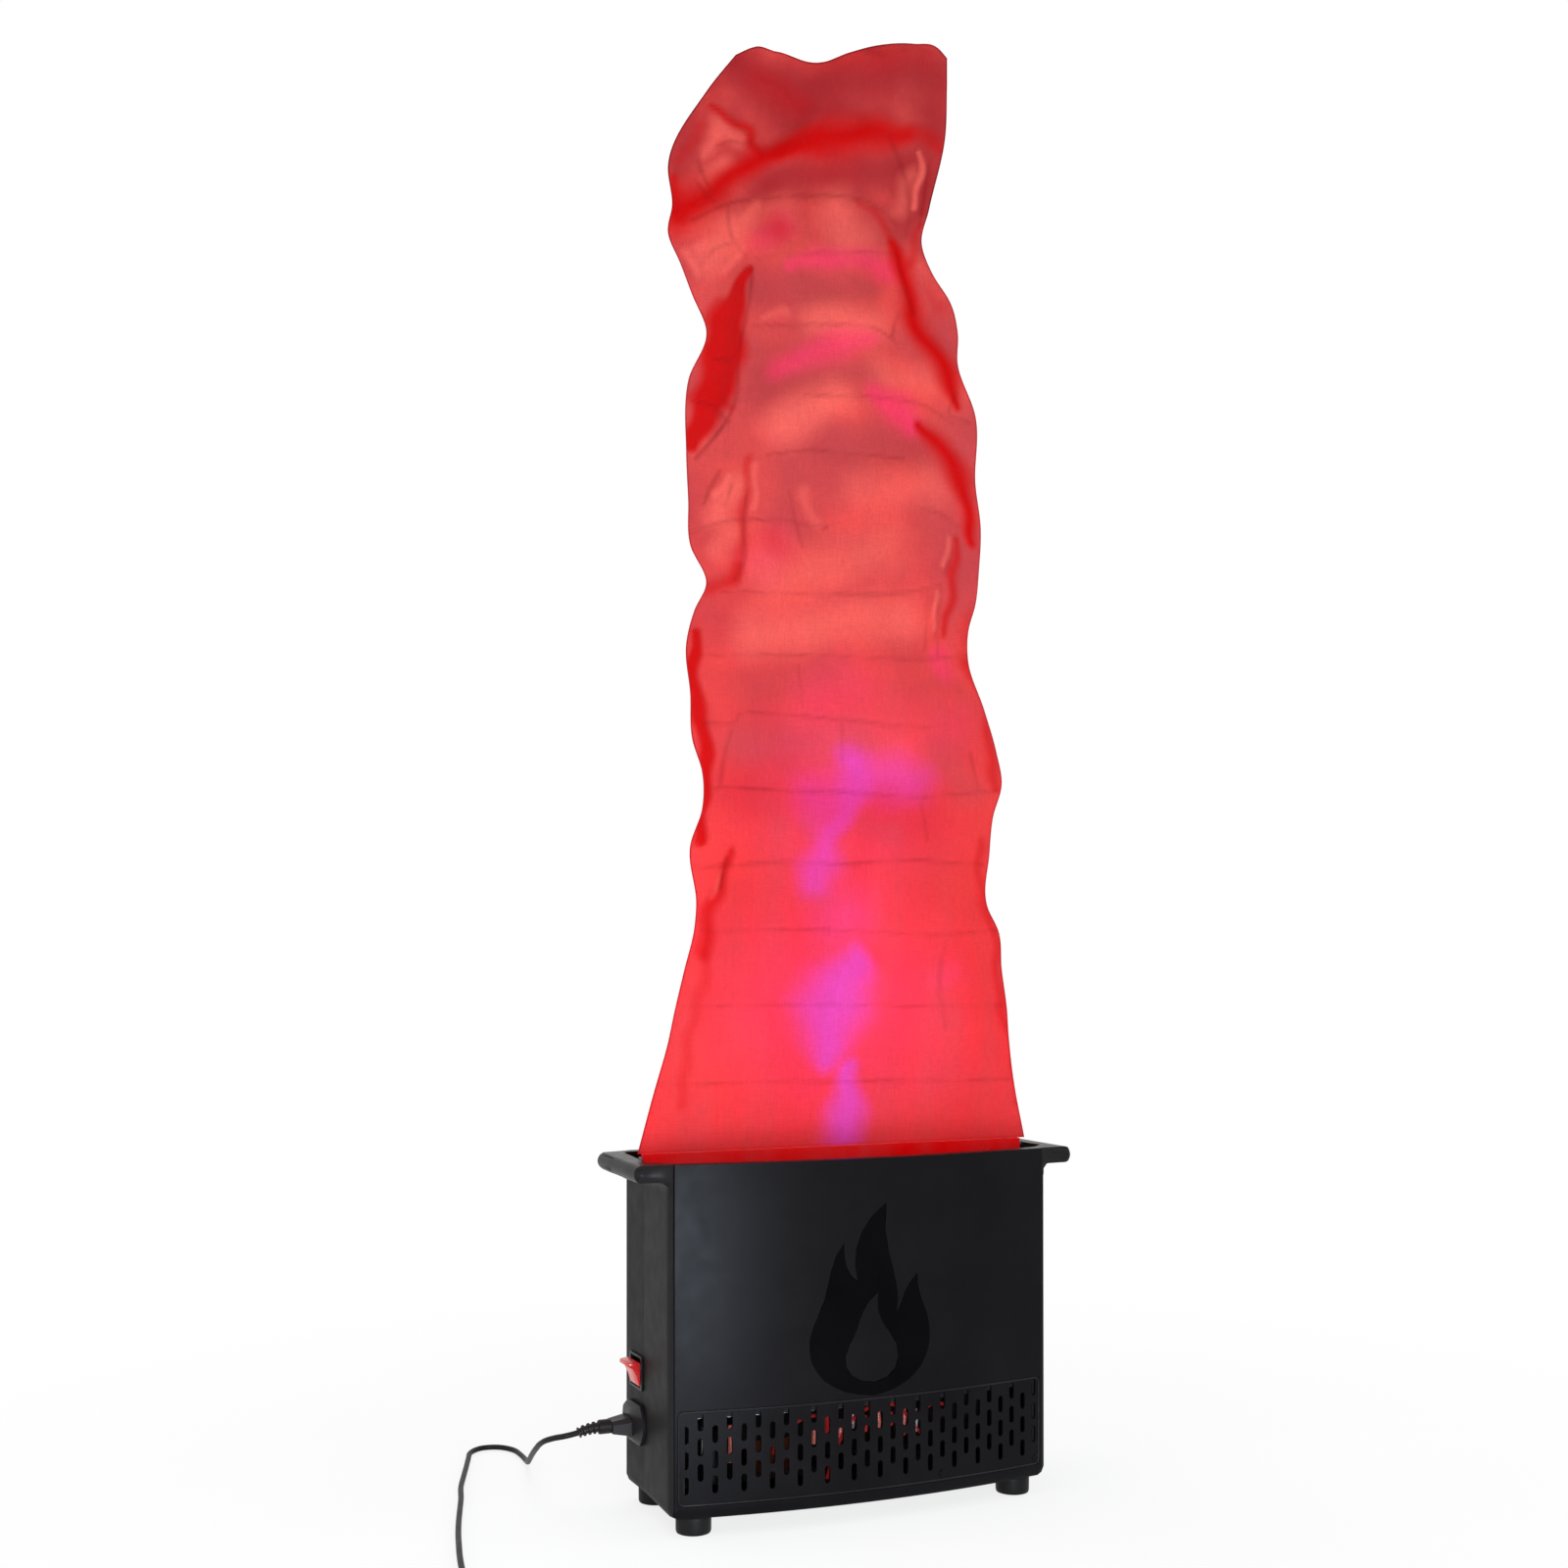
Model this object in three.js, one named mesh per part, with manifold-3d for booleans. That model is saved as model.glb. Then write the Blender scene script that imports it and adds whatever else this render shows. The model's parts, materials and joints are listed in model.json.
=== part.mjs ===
// A silk flame effect light: a black housing on four rubber feet blows air up past a sheet of red silk
// that stands in its open top and is lit from below by coloured lamps. Millimetres, +Z up, front towards -Y.
// The origin lies on the ground, under the middle of the housing.
import * as THREE from 'three';
import { mergeVertices } from 'three/addons/utils/BufferGeometryUtils.js';
import Module from 'manifold-3d';

const wasm = await Module();
wasm.setup();

// Fits that every piece shares
const clearance = 0.3;
const overrun = 4;
const halfTurn = Math.PI;
const quarterTurn = Math.PI / 2;

// Housing: a bowed front, sides that lean in to the seam, and a flat back
const bodyWidth = 369;
const bodyBase = 16;
const bodyTop = 318;
const sideDepth = 132.5;
const bowDepth = 18;
const seamDepth = 79.25;
const seamInset = 4.5;
const wall = 3;
const cornerRadius = 6;
const rearCornerRadius = 5;
const baseEdgeRadius = 8;
const baseEdgeSteps = 2;
const baseFrontShare = 0.3;

// Rim and the two handle lips that flare out of it
const lipReach = 29.5;
const lipTaper = 4.5;
const lipThickness = 15;
const lipEdgeRadius = 6;
const lipFillet = 10;
const lipRoot = 4;
const lipFrontDepth = 0;
const lipBackDepth = 130;
const lipPlanRadius = 12;
const lipFrontRadius = 7;
const rimWidth = 12;
const throatCorner = 15;
const throatEnd = 19;
const throatTaper = 8;

// Front panel with its flame emblem
const panelThickness = 3;
const panelMargin = 4.5;
const emblemWidth = 124;
const emblemHeight = 168;
const emblemBase = 110;
const emblemShift = -3;
const emblemRecess = 2;
const emblemInset = 0.7;

// Intake grille
const grilleBase = 27;
const grilleHeight = 81;
const grilleMargin = 3;
const grilleThickness = 2.4;
const grilleSetBack = 0.6;
const grilleCorner = 5;
const grilleLedge = 7;
const slotColumns = 28;
const slotRows = 3;
const slotMargin = 6.9;
const slotWidth = 5;
const slotHeight = 15;
const slotRowPitch = 21.5;
const slotFirstRow = 44.5;
const grilleScrewInset = 6;
const grilleScrewColumns = [19, 27.2];
const smallScrewHeadRadius = 3.2;
const smallScrewHeadHeight = 1.6;
const smallScrewShankRadius = 1.4;
const smallScrewLength = 8;

// Feet and their screws
const footRadius = 15.5;
const footTipRadius = 14.6;
const footInset = 27.3;
const footFrontDepth = 14;
const footBackDepth = 112.7;
const footBoreRadius = 5.5;
const footBoreDepth = 8;
const footScrewRadius = 2;
const footScrewHeadRadius = 4.4;
const footScrewHeadHeight = 3;
const footScrewLength = 16;

// Rocker switch on the left side
const switchCentreZ = 124;
const switchWidth = 34;
const switchHeight = 30.7;
const switchProud = 2;
const switchBodyInset = 2;
const switchBodyDepth = 20;
const switchFromSeam = 0.5;
const switchFrame = 2.2;
const rockerTilt = THREE.MathUtils.degToRad(14);
const rockerRise = 5.6;
const rockerTipRise = 7;
const rockerRootDepth = 5;
const rockerSwing = 1.8;
const rockerPocketDepth = 14;

// Mains inlet below the switch
const inletCentreZ = 78.4;
const inletWidth = 50.5;
const inletHeight = 35.5;
const inletBulge = 9.5;
const inletPlate = 3;
const inletCollarWidth = 27;
const inletCollarHeight = 28.5;
const inletCollarProud = 3.6;
const inletBeforeSeam = 9.5;
const inletLift = 0.6;
const socketShiftY = 7.75;
const socketDrop = 3.2;
const inletCorner = 8;
const inletRearCorner = 13;
const inletFace = 1;
const inletBodyWidth = 30;
const inletBodyHeight = 22;
const inletBodyDepth = 22;
const inletPinGap = 3;

// Cord set: connector, strain relief, lead, coil, tie and plug
const cordDiameter = 5.2;
const cordSides = 8;
const connectorWidth = 26;
const connectorHeight = 16;
const connectorLength = 27.6;
const connectorInsert = 11;
const connectorNeckWidth = 20;
const connectorNeckHeight = 10.5;
const connectorChamfer = 4;
const connectorNeckChamfer = 3;
const collarRadius = 6.5;
const collarLength = 10;
const reliefLength = 19;
const reliefStartRadius = 5.5;
const reliefEndRadius = 4.7;
const reliefRibs = 4;
const reliefRibDepth = 0.9;
const reliefDroop = 3.2;
const coilGap = 0.5;
const coilTurns = 5;
const coilClimbTurns = 0.5;
const coilMeanRadius = 31;
const coilStepsPerTurn = 24;
const coilSides = 6;
const tieThickness = 1;
const tieLength = 9;
const tailLength = 22;
const plugReliefLength = 20;
const plugReliefRadius = 4.6;
const plugBodyLength = 27;
const plugWidth = 28;
const plugHeight = 25;
const plugCorner = 5;
const bladeWidth = 6.3;
const bladeThickness = 1.5;
const bladeLength = 17;
const bladeSpacing = 12.7;
const earthPinRadius = 2.4;
const earthPinLength = 20;
const earthPinOffset = 8;

// Fans on their tray
const fanSize = 119;
const fanMiddleGap = 7;
const fanHeight = 25;
const fanDepthShift = 10;
const fanRim = 2.5;
const fanCorner = 8;
const fanHubPlateRadius = 22;
const fanHubPlate = 4;
const fanStrutWidth = 5;
const fanStruts = 4;
const fanShaftRadius = 2.5;
const fanShaftLength = 14;
const impellerGap = 1;
const impellerHubRadius = 20;
const impellerHubHeight = 17;
const impellerTipGap = 3;
const impellerBlades = 7;
const impellerBladeChord = 24;
const impellerBladeThickness = 1.8;
const impellerPitch = THREE.MathUtils.degToRad(38);
const shaftClearance = 0.4;
const trayHeight = 103;
const trayThickness = 3;
const trayMargin = 0.3;
const guardWire = 1.6;
const guardHoops = 2;
const guardBars = 4;

// Lamps on two rails either side of the silk
const railHeight = 226;
const railWidth = 22;
const railThickness = 8;
const railOffset = 32;
const boardThickness = 1.6;
const boardMargin = 2;
const lampsPerRail = 3;
const lampSpacing = 105;
const lampBaseRadius = 11;
const lampMouthRadius = 13;
const lampHeight = 15;
const lampFloor = 3;
const lampRim = 1.2;

// Silk and the bar that holds it
const barThickness = 3;
const barHeight = 13;
const barRibHeight = 10;
const hemEndGap = 6;
const hemTop = 322;
const hemWall = 1;
const silkThickness = 1;
const silkTop = 1343;
const silkColumns = 17;
const silkRows = 24;

// Power supply on the floor of the housing
const supplyLength = 130;
const supplyWidth = 62;
const supplyWallGap = 28;
const boardStandoff = 6;
const boardCentreY = 30;
const postRadius = 4;
const transformerLength = 40;
const transformerWidth = 34;
const transformerHeight = 30;
const capacitorRadius = 9;
const capacitorHeight = 28;
const controllerLength = 70;
const controllerWidth = 50;
const boardGap = 44;
const innerLeadRadius = 3.2;
const innerLeadRun = 16;
const innerLeadBend = 4;
const innerLeadDrop = 5;
const capacitorGap = 20;

// Vents and screws in the back
const ventRows = 5;
const ventColumns = 2;
const ventLength = 110;
const ventHeight = 4;
const ventPitch = 10;
const ventBase = 50;
const ventSpacing = 170;
const backScrewHeadRadius = 3.6;
const backScrewInsetX = 20;
const backScrewLowZ = 34;
const backScrewHighZ = 292;
const backScrewDepth = 2.2;

// Places worked out from the sizes above
const bodyDepth = sideDepth + bowDepth;
const frontY = -bodyDepth / 2;
const backY = bodyDepth / 2;
const cornerY = frontY + bowDepth;
const seamY = cornerY + seamDepth;
const halfBody = bodyWidth / 2;
const sideX = halfBody - seamInset;
const bowRadius = (halfBody ** 2 + bowDepth ** 2) / (2 * bowDepth);
const frontWallInset = panelThickness + clearance + wall;
const lipOuter = halfBody + lipReach;
const lipUnderside = bodyTop - lipThickness;
const throatHalf = lipOuter - throatEnd;
const throatFloor = lipUnderside + wall;
const panelHalf = halfBody - panelMargin;
const grilleHalf = panelHalf - grilleMargin;
const slotPitch = 2 * (grilleHalf - slotMargin) / (slotColumns - 1);
const footSpacing = bodyWidth - 2 * footInset;
const hemHalf = throatHalf - hemEndGap;
const supplyCentreX = supplyWallGap + supplyLength / 2 - (sideX - wall);
const controllerCentreX = supplyCentreX + supplyLength / 2 + boardGap + controllerLength / 2;
const boards = [[supplyCentreX, supplyLength, supplyWidth], [controllerCentreX, controllerLength, controllerWidth]];
const fanSpacing = fanSize + fanMiddleGap;
const fanBore = fanSize / 2 - fanRim;
const impellerTipRadius = fanBore - impellerTipGap;
const cordRadius = cordDiameter / 2;
const switchCentreY = seamY + switchFromSeam + switchWidth / 2;
const inletCentreY = seamY - inletBeforeSeam + inletWidth / 2;
const socketY = inletCentreY + socketShiftY;
const socketZ = inletCentreZ - socketDrop;

const finish = (colour, roughness, metalness = 0) =>
  new THREE.MeshStandardMaterial({ color: colour, roughness, metalness });
const finishes = {
  shell: finish(0x37342f, 0.45),
  panel: finish(0x2c2f35, 0.35),
  grille: finish(0x26282d, 0.5),
  emblem: finish(0x08070a, 0.15),
  rubber: finish(0x0c0c0d, 0.8),
  darkSteel: finish(0x1b1a1b, 0.45, 0.8),
  switchBlack: finish(0x121113, 0.3),
  rockerRed: finish(0xa01018, 0.2),
  cordBlack: finish(0x141112, 0.6),
  brass: finish(0xb08d4a, 0.3, 1),
  aluminium: finish(0xb9bcc0, 0.35, 1),
  fanBlack: finish(0x151517, 0.55),
  circuit: finish(0x1d4a2c, 0.5),
  lens: finish(0xe9eef2, 0.1),
  copper: finish(0x9a5a2e, 0.4, 0.6),
  sleeve: finish(0x22304a, 0.4),
  silk: finish(0xe3544f, 0.6),
  hem: finish(0xe0161a, 0.6),
  steel: finish(0x8c8f93, 0.35, 1),
};

const model = new THREE.Group();

// Solids: three.js geometry goes in, joins and cuts are made, and geometry comes back
function toSolid(geometry) {
  const bare = geometry.index ? geometry.toNonIndexed() : geometry.clone();
  bare.deleteAttribute('normal');
  bare.deleteAttribute('uv');
  const merged = mergeVertices(bare);
  return new wasm.Manifold(new wasm.Mesh({
    numProp: 3,
    vertProperties: new Float32Array(merged.attributes.position.array),
    triVerts: new Uint32Array(merged.index.array),
  }));
}

function toGeometry(solid) {
  const mesh = solid.getMesh();
  const geometry = new THREE.BufferGeometry();
  geometry.setAttribute('position', new THREE.BufferAttribute(mesh.vertProperties, 3));
  geometry.setIndex(new THREE.BufferAttribute(mesh.triVerts, 1));
  geometry.computeVertexNormals();
  return geometry;
}

function addPiece(name, geometry, material, place = [0, 0, 0]) {
  const mesh = new THREE.Mesh(geometry, material);
  mesh.name = name;
  mesh.position.set(...place);
  model.add(mesh);
  return mesh;
}

function addSolid(name, solid, material, place) {
  return addPiece(name, toGeometry(solid), material, place);
}

// Prisms along each axis. A shape for prismY is drawn in x and z, and one for prismX in y and z.
function prismZ(shape, low, high, curveSegments = 4) {
  const geometry = new THREE.ExtrudeGeometry(shape, { depth: high - low, bevelEnabled: false, curveSegments });
  return toSolid(geometry.translate(0, 0, low));
}

function prismY(shape, front, back, curveSegments = 4) {
  const geometry = new THREE.ExtrudeGeometry(shape, { depth: back - front, bevelEnabled: false, curveSegments });
  return toSolid(geometry.rotateX(quarterTurn).translate(0, back, 0));
}

function prismX(shape, left, right, curveSegments = 4) {
  const geometry = new THREE.ExtrudeGeometry(shape, { depth: right - left, bevelEnabled: false, curveSegments });
  const turn = new THREE.Matrix4().makeBasis(
    new THREE.Vector3(0, 1, 0), new THREE.Vector3(0, 0, 1), new THREE.Vector3(1, 0, 0));
  return toSolid(geometry.applyMatrix4(turn).translate(left, 0, 0));
}

function block(low, high) {
  const size = high.map((value, axis) => value - low[axis]);
  const geometry = new THREE.BoxGeometry(...size);
  return toSolid(geometry.translate(...low.map((value, axis) => value + size[axis] / 2)));
}

function cylinderZ(radius, low, high, sides = 24, topRadius = radius) {
  const geometry = new THREE.CylinderGeometry(topRadius, radius, high - low, sides);
  return toSolid(geometry.rotateX(quarterTurn).translate(0, 0, (low + high) / 2));
}

function cylinderY(radius, front, back, sides = 16) {
  const geometry = new THREE.CylinderGeometry(radius, radius, back - front, sides);
  return toSolid(geometry.translate(0, (front + back) / 2, 0));
}

// A closed outline through corners given as [x, y, radius]
function roundedShape(corners) {
  const shape = new THREE.Shape();
  corners.forEach(([x, y, radius = 0], index) => {
    const here = new THREE.Vector2(x, y);
    const [beforeX, beforeY] = corners[(index + corners.length - 1) % corners.length];
    const [afterX, afterY] = corners[(index + 1) % corners.length];
    const inward = new THREE.Vector2(beforeX, beforeY).sub(here).normalize();
    const onward = new THREE.Vector2(afterX, afterY).sub(here).normalize();
    const bend = halfTurn - Math.acos(THREE.MathUtils.clamp(inward.dot(onward), -1, 1));
    const reach = radius * Math.tan(bend / 2);
    const start = here.clone().addScaledVector(inward, reach);
    if (index === 0) shape.moveTo(start.x, start.y);
    else shape.lineTo(start.x, start.y);
    if (reach > 0) {
      const end = here.clone().addScaledVector(onward, reach);
      shape.quadraticCurveTo(x, y, end.x, end.y);
    }
  });
  shape.closePath();
  return shape;
}

function rectangle(centreX, centreY, width, height, radius = 0) {
  const [left, right] = [centreX - width / 2, centreX + width / 2];
  const [low, high] = [centreY - height / 2, centreY + height / 2];
  return roundedShape([[left, low, radius], [right, low, radius], [right, high, radius], [left, high, radius]]);
}

// The bowed front is faceted at the grille's column pitch, so that every piece on it shares its facets
function bowY(x, inset) {
  return frontY + bowRadius - Math.sqrt((bowRadius - inset) ** 2 - x ** 2);
}

function bowStations(half) {
  const count = Math.ceil(half / slotPitch) - 1;
  const stations = [-half];
  for (let step = -count; step <= count; step += 1) stations.push(step * slotPitch);
  return [...stations, half];
}

function bowSkin(frontInset, backInset, half, low, high) {
  const stations = bowStations(half);
  const front = stations.map((x) => [x, bowY(x, frontInset)]);
  const back = stations.map((x) => [x, bowY(x, backInset)]).reverse();
  return prismZ(roundedShape([...front, ...back]), low, high);
}

// The plan narrows up to the seam and is straight behind it, so each of its two parts is convex
function frontPlan(inset, frontInset, frontRadius) {
  const half = halfBody - inset;
  const front = bowStations(half).map((x) => [x, bowY(x, frontInset), Math.abs(x) === half ? frontRadius : 0]);
  return roundedShape([...front, [sideX - inset, seamY], [inset - sideX, seamY]]);
}

function rearPlan(inset, backInset) {
  const [half, front, back] = [sideX - inset, seamY - clearance, backY - backInset];
  return roundedShape([[-half, front], [half, front], [half, back, rearCornerRadius], [-half, back, rearCornerRadius]]);
}

// A straight-walled space inside the body
function inside(inset, frontInset, low, high) {
  return prismZ(frontPlan(inset, frontInset, 0), low, high).add(prismZ(rearPlan(inset, inset), low, high));
}

// One part of the body, with its bottom edges rounded at the sides
function roundedBase(planAt) {
  const corners = [];
  const slice = (inset, z) => planAt(inset).getPoints(2).forEach((point) => corners.push([point.x, point.y, z]));
  for (let step = 0; step <= baseEdgeSteps; step += 1) {
    const angle = (step / baseEdgeSteps) * quarterTurn;
    slice(baseEdgeRadius * (1 - Math.sin(angle)), bodyBase + baseEdgeRadius * (1 - Math.cos(angle)));
  }
  slice(0, bodyTop);
  return wasm.Manifold.hull(corners);
}

// One handle lip on each side: a flared section cut to its rounded outline from above
function handleLip(side) {
  const root = sideX - lipRoot;
  const section = roundedShape([
    [side * root, bodyTop],
    [side * lipOuter, bodyTop, lipEdgeRadius],
    [side * lipOuter, lipUnderside, lipEdgeRadius],
    [side * halfBody, lipUnderside, lipFillet],
    [side * (halfBody - seamInset / 2), lipUnderside - lipFillet],
    [side * root, lipUnderside - lipFillet],
  ]);
  const plan = roundedShape([
    [0, cornerY + lipFrontDepth],
    [side * lipOuter, cornerY + lipFrontDepth, lipFrontRadius],
    [side * (lipOuter - lipTaper), cornerY + lipBackDepth, lipPlanRadius],
    [0, cornerY + lipBackDepth],
  ]);
  return prismY(section, frontY, backY).intersect(
    prismZ(plan, lipUnderside - lipFillet - overrun, bodyTop + overrun));
}

function throatHalfAt(y) {
  const front = cornerY + rimWidth + lipFrontDepth + throatCorner;
  const back = cornerY + lipBackDepth - rimWidth;
  return throatHalf - throatTaper * (y - front) / (back - front);
}

function throatShape() {
  const half = throatHalf;
  const frontHalf = halfBody - rimWidth;
  const back = backY - rimWidth;
  const front = bowStations(frontHalf).map((x) => [x, bowY(x, rimWidth)]);
  const endFront = cornerY + rimWidth + lipFrontDepth;
  const endBack = cornerY + lipBackDepth - rimWidth;
  const inner = sideX - rimWidth;
  return roundedShape([
    ...front,
    [half - throatCorner, endFront, lipPlanRadius / 2],
    [half, endFront + throatCorner, lipPlanRadius / 2],
    [half - throatTaper, endBack, lipPlanRadius],
    [inner, back, lipPlanRadius / 2],
    [-inner, back, lipPlanRadius / 2],
    [throatTaper - half, endBack, lipPlanRadius],
    [-half, endFront + throatCorner, lipPlanRadius / 2],
    [throatCorner - half, endFront, lipPlanRadius / 2],
  ]);
}

function footPlaces() {
  return [
    ['front_left', -1, footFrontDepth], ['front_right', 1, footFrontDepth],
    ['rear_left', -1, footBackDepth], ['rear_right', 1, footBackDepth],
  ].map(([name, side, depth]) => [name, side * footSpacing / 2, cornerY + depth]);
}

// Moulded posts under the two boards, and ribs on the throat's ledges that hold the ends of the silk's bar
function addFittings(tub) {
  const postTop = bodyBase + wall + boardStandoff - clearance;
  for (const [x, length, width] of boards) {
    for (const sideX of [-1, 1]) {
      for (const sideY of [-1, 1]) {
        const post = cylinderZ(postRadius, bodyBase + wall / 2, postTop, 12);
        tub = tub.add(post.translate(x + sideX * (length / 2 - postRadius),
          boardCentreY + sideY * (width / 2 - postRadius), 0));
      }
    }
  }
  const near = barThickness / 2 + clearance;
  for (const side of [-1, 1]) {
    for (const face of [-1, 1]) {
      const [inner, outer] = [side * (hemHalf + clearance), side * (throatHalf + clearance)];
      const [low, high] = [face * near, face * (near + wall)];
      tub = tub.add(block([Math.min(inner, outer), Math.min(low, high), throatFloor - wall / 2],
        [Math.max(inner, outer), Math.max(low, high), throatFloor + barRibHeight]));
    }
  }
  return tub;
}

function housing() {
  let tub = roundedBase((inset) => frontPlan(inset, inset * baseFrontShare, cornerRadius))
    .add(roundedBase((inset) => rearPlan(inset, 0))).add(handleLip(1)).add(handleLip(-1));
  tub = tub.subtract(inside(wall, frontWallInset, bodyBase + wall, throatFloor));
  tub = tub.subtract(prismZ(throatShape(), throatFloor, bodyTop + overrun));
  for (const [, x, y] of footPlaces()) {
    const hole = cylinderZ(footScrewRadius + clearance, bodyBase - overrun, bodyBase + wall + overrun, 12);
    tub = tub.subtract(hole.translate(x, y, 0));
  }
  return addFittings(tub);
}

// The flame emblem is drawn in shares of its width and height, from its foot round by the right
const flameShares = [
  [[0.02, 0], [0.30, 0.02], [0.50, 0.14], [0.47, 0.33]],
  [[0.45, 0.45], [0.36, 0.50], [0.37, 0.62]],
  [[0.25, 0.55], [0.25, 0.45], [0.20, 0.42]],
  [[0.26, 0.62], [0.06, 0.74], [0.12, 1.0]],
  [[-0.10, 0.90], [-0.16, 0.74], [-0.10, 0.60]],
  [[-0.16, 0.62], [-0.22, 0.68], [-0.21, 0.80]],
  [[-0.34, 0.70], [-0.30, 0.56], [-0.40, 0.44]],
  [[-0.58, 0.22], [-0.40, 0.02], [0.02, 0]],
];
const islandShares = [
  [[0.03, 0.07], [0.22, 0.08], [0.28, 0.22], [0.14, 0.33]],
  [[0.06, 0.40], [0.04, 0.46], [0.06, 0.54]],
  [[-0.10, 0.46], [-0.08, 0.36], [-0.16, 0.28]],
  [[-0.26, 0.17], [-0.16, 0.07], [0.03, 0.07]],
];
const flameCurveSteps = 5;

function flamePoints(shares) {
  const place = ([x, z]) => new THREE.Vector2(emblemShift + x * emblemWidth, emblemBase + z * emblemHeight);
  const path = new THREE.Path();
  const first = place(shares[0][0]);
  path.moveTo(first.x, first.y);
  for (const curve of shares) {
    const [a, b, end] = curve.slice(-3).map(place);
    path.bezierCurveTo(a.x, a.y, b.x, b.y, end.x, end.y);
  }
  return path.getPoints(flameCurveSteps).slice(0, -1);
}

// Moves an outline outwards by a distance, with its tips kept from running away
function grown(points, distance) {
  return points.map((point, index) => {
    const before = points[(index + points.length - 1) % points.length];
    const after = points[(index + 1) % points.length];
    const inward = point.clone().sub(before).normalize();
    const onward = after.clone().sub(point).normalize();
    const normal = new THREE.Vector2(inward.y + onward.y, -inward.x - onward.x).normalize();
    const spread = Math.max(normal.dot(new THREE.Vector2(inward.y, -inward.x)), 0.5);
    return point.clone().addScaledVector(normal, distance / spread);
  });
}

function frontPieces(tub) {
  const frontBody = roundedBase((inset) => frontPlan(inset, inset * baseFrontShare, cornerRadius));
  const pocket = bowSkin(-overrun, panelThickness + clearance, panelHalf + clearance,
    bodyBase - overrun, bodyTop + overrun);
  const frontHalf = block([-lipOuter - overrun, frontY - overrun, 0], [lipOuter + overrun, seamY - clearance / 2,
    bodyTop + overrun]);
  const window = prismY(rectangle(0, grilleBase + grilleHeight / 2, 2 * (grilleHalf - grilleLedge),
    grilleHeight - 2 * grilleLedge), frontY - overrun, cornerY + 2 * frontWallInset);
  let shell = tub.intersect(frontHalf).subtract(pocket).subtract(window);

  const opening = prismY(rectangle(0, grilleBase + grilleHeight / 2, 2 * (grilleHalf + clearance),
    grilleHeight + 2 * clearance, grilleCorner), frontY - overrun, cornerY + frontWallInset);
  const flame = flamePoints(flameShares);
  const island = flamePoints(islandShares);
  const recess = prismY(new THREE.Shape(grown(flame, clearance)), frontY - overrun, cornerY)
    .subtract(prismY(new THREE.Shape(island), frontY - overrun, cornerY))
    .intersect(bowSkin(-overrun, emblemRecess, panelHalf, emblemBase - overrun, emblemBase + emblemHeight + overrun));
  const panel = bowSkin(0, panelThickness, panelHalf, bodyBase, bodyTop).intersect(frontBody)
    .subtract(opening).subtract(recess);
  const inlay = prismY(new THREE.Shape(flame), frontY - overrun, cornerY)
    .subtract(prismY(new THREE.Shape(grown(island, clearance)), frontY - overrun, cornerY))
    .intersect(bowSkin(emblemInset, emblemRecess - clearance, panelHalf, emblemBase - overrun,
      emblemBase + emblemHeight + overrun));

  const bolts = grilleScrewColumns.map((column) => {
    const x = (column - (slotColumns - 1) / 2) * slotPitch;
    return [x, bowY(x + smallScrewHeadRadius, grilleSetBack), grilleBase + grilleScrewInset];
  });
  for (const [x, , z] of bolts) {
    const hole = cylinderY(smallScrewShankRadius + clearance, frontY - overrun, cornerY + 2 * frontWallInset, 8);
    shell = shell.subtract(hole.translate(x, 0, z));
  }
  addSolid('front_shell', shell, finishes.shell);
  addSolid('front_panel', panel, finishes.panel);
  addSolid('flame_emblem', inlay, finishes.emblem);
  addSolid('front_grille', grille(bolts), finishes.grille);
  ['middle', 'right'].forEach((side, index) => {
    const [x, y, z] = bolts[index];
    addPiece(`grille_screw_${side}`, boltGeometry(smallScrewHeadRadius, smallScrewHeadHeight,
      smallScrewShankRadius, smallScrewLength), finishes.darkSteel, [x, y - clearance, z]);
  });
}

// A round-headed screw along +Y, with its seat at the origin and its head towards -Y
function boltGeometry(headRadius, headHeight, shankRadius, length) {
  const profile = [
    [0, -headHeight], [headRadius * Math.SQRT1_2, -headHeight], [headRadius, -headHeight / 2], [headRadius, 0],
    [shankRadius, 0], [shankRadius, length], [0, length],
  ];
  return new THREE.LatheGeometry(profile.map(([r, y]) => new THREE.Vector2(r, y)), 10);
}

function slotShape(x, z) {
  const [halfWidth, halfHeight] = [slotWidth / 2, slotHeight / 2];
  const shoulder = halfHeight - halfWidth * Math.SQRT1_2;
  const crown = halfWidth * (Math.SQRT2 - 1);
  return roundedShape([
    [x - halfWidth, z - shoulder], [x - crown, z - halfHeight], [x + crown, z - halfHeight],
    [x + halfWidth, z - shoulder], [x + halfWidth, z + shoulder], [x + crown, z + halfHeight],
    [x - crown, z + halfHeight], [x - halfWidth, z + shoulder],
  ]);
}

function grille(bolts) {
  const outline = rectangle(0, grilleBase + grilleHeight / 2, 2 * grilleHalf, grilleHeight, grilleCorner);
  let plate = bowSkin(grilleSetBack, grilleSetBack + grilleThickness, grilleHalf + clearance / 2,
    grilleBase - overrun, grilleBase + grilleHeight + overrun)
    .intersect(prismY(outline, frontY - overrun, cornerY + frontWallInset));
  for (let column = 0; column < slotColumns; column += 1) {
    const x = (column - (slotColumns - 1) / 2) * slotPitch;
    const lift = column % 2 === 0 ? 0 : slotRowPitch / 2;
    for (let row = 0; row < slotRows; row += 1) {
      const z = slotFirstRow + lift + row * slotRowPitch;
      plate = plate.subtract(prismY(slotShape(x, z), frontY - overrun, cornerY + frontWallInset));
    }
  }
  for (const [x, seat, z] of bolts) {
    const hole = cylinderY(smallScrewShankRadius + clearance, frontY - overrun, cornerY + frontWallInset, 8)
      .add(cylinderY(smallScrewHeadRadius + clearance, frontY - overrun, seat, 16));
    plate = plate.subtract(hole.translate(x, 0, z));
  }
  return plate;
}

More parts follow.
